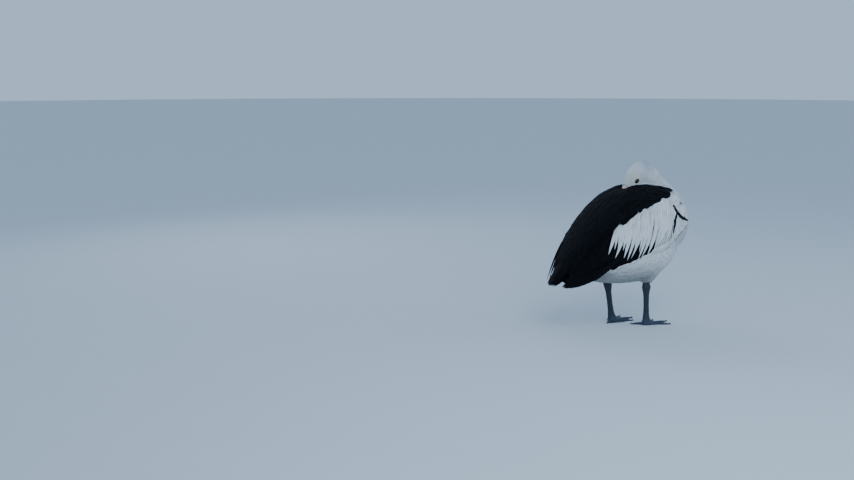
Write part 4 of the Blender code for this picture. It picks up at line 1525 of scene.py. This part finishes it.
def make_claws(name, look):
    """Four short curved nails, one at each toe's tip."""
    form, heel = bmesh.new(), Vector(heel_of(name))
    for aim, across, reach in toe_lines(name):
        aim, across, rings = Vector(aim), Vector(across), []
        for t in np.linspace(0, 1, 9):
            rise = 0.0042 + 0.0016 * math.sin(math.pi * t) - 0.0036 * t ** 2
            centre = heel + aim * (reach * 0.93 + 0.0115 * t) + Vector((0, 0, rise))
            radius = 0.0024 * (1 - t) ** 0.6 + 0.0002
            rings.append([centre + across * (radius * math.cos(a))
                          + Vector((0, 0, 1.1 * radius * math.sin(a))) for a in circle(12)])
        loops = bridge(form, rings)
        form.faces.new(loops[0])
        form.faces.new(loops[-1])
    finish_piece(formed("claws_" + name, form), "scaly_skin", look=look)


def slate_colour(tree):
    """Slate grey on the shank, bluer on the foot."""
    height = parts_of(place_of(tree))[2]
    patch = noise(place_of(tree), 38.0, 4.0)
    shin = blended(patch, (0.006, 0.011, 0.018), (0.015, 0.025, 0.038))
    foot = blended(patch, (0.006, 0.018, 0.044), (0.016, 0.042, 0.090))
    return blended(ramped(height, 0.012, 0.05), foot, shin)


def make_legs(rng):
    scaly = grained("slate_scales", slate_colour, (0.012, 0.018, 0.026), 420.0, 0.5, 0.3,
                    strength=0.6, roughness=0.5)
    horn = grained("claw_horn", (0.045, 0.040, 0.040), (0.02, 0.018, 0.018), 260.0, 0.3, 0.4,
                   strength=0.25, roughness=0.35)
    for name in SIDES:
        make_leg(name, scaly, rng)
        make_claws(name, horn)


# ---------------------------------------------------------------- the stage
CAMERA_AT = Vector((-3.20, -3.83, 1.10))
CAMERA_HEADING = Vector((0.5, 0.866, 0.0))
CAMERA_PITCH = math.radians(8.63)
FLOOR_COLOUR = np.array((0.62, 0.66, 0.70))
# Each light's place, width, power and colour.
LIGHTS = {
    "key": ((-1.3, -2.6, 2.6), 2.4, 52, (0.74, 0.87, 1.0)),
    "fill": ((3.0, -1.6, 1.6), 2.6, 16, (0.70, 0.85, 1.0)),
    "back": ((-0.6, 3.2, 2.4), 2.4, 26, (0.74, 0.87, 1.0)),
}


def floor_colour(tree):
    return blended(noise(place_of(tree), 3.0, 3.0), FLOOR_COLOUR * 0.97, FLOOR_COLOUR)


def placed(name, data, place, aim):
    """A light or camera that looks along its aim."""
    obj = link(name, data)
    obj.location = place
    obj.rotation_euler = aim.to_track_quat("-Z", "Y").to_euler()
    return obj


def make_lights():
    target = HOME + Vector((0, 0, 0.38))
    for name, (offset, size, power, colour) in LIGHTS.items():
        lamp = bpy.data.lights.new(name, "AREA")
        lamp.shape = "DISK"
        lamp.size, lamp.energy, lamp.color = size, power, colour
        place = HOME + Vector(offset)
        placed(name, lamp, place, target - place)
    world = bpy.data.worlds.new("studio")
    world.use_nodes = True
    fill(world.node_tree, world.node_tree.nodes["Background"].inputs,
         {"Color": (0.52, 0.71, 0.96), "Strength": 0.84})
    bpy.context.scene.world = world


def make_stage():
    form = bmesh.new()
    bmesh.ops.create_circle(form, cap_ends=True, segments=96, radius=30.0)
    floor = formed("floor", form, smooth=False)
    floor.data.materials.append(material("pale_floor", floor_colour, roughness=0.9)[0])
    make_lights()
    camera = bpy.data.cameras.new("camera")
    camera.lens, camera.sensor_width = 50, 36
    level = CAMERA_HEADING.normalized() * math.cos(CAMERA_PITCH)
    bpy.context.scene.camera = placed("camera", camera, HOME + CAMERA_AT,
                                      level - Vector((0, 0, math.sin(CAMERA_PITCH))))


# ---------------------------------------------------------------- the bird
def make_coat(ground, white, black):
    def soft(name, batches, thickness, cup=0.05):
        coat(name, batches, white, thickness=thickness, cup=cup)

    soft("coat_head", head_coat(ground) + crest(ground), 0.07)
    soft("coat_down", down_coat(ground), 0.04, 0.04)
    soft("coat_neck", neck_coat(ground), 0.06)
    soft("coat_breast", body_coat(ground, True), 0.035)
    soft("coat_belly", body_coat(ground, False), 0.035)
    white_rump, black_rump = tail_coverts(ground)
    soft("coat_rump", white_rump, 0.05, 0.12)
    coat("coat_tail_root", black_rump, black)
    for name, side in SIDES.items():
        coat("quills_" + name, dark_coverts(ground, side) + primaries(ground, side)
             + fork(ground, side), black, section=8, cup=0.08, ragged=0.25)
        soft("small_coverts_" + name, small_coverts(ground, side), 0.08, 0.12)
        coat("long_coverts_" + name, long_coverts(ground, side), white, section=8,
             ragged=0.12)
        coat("scapular_coat_" + name, scapulars(ground, side), black, section=8, cup=0.08,
             ragged=0.2)
    coat("tail_fan", tail_quills(ground) + rump_drape(ground), black, section=8,
         cup=0.05, ragged=0.15)


def main():
    white, black, bare = make_finishes()
    skin, label, depth = make_skin()
    unwrap(skin)
    paint_skin(skin, label, bare)
    ground = Ground(skin, label, depth, np.random.default_rng(1949))
    finish_piece(skin, "plumage_white", *FLESH)
    make_coat(ground, white, black)
    make_eyes(ground)
    make_bill()
    make_legs(np.random.default_rng(51))
    make_stage()


main()

bpy.context.view_layer.update()
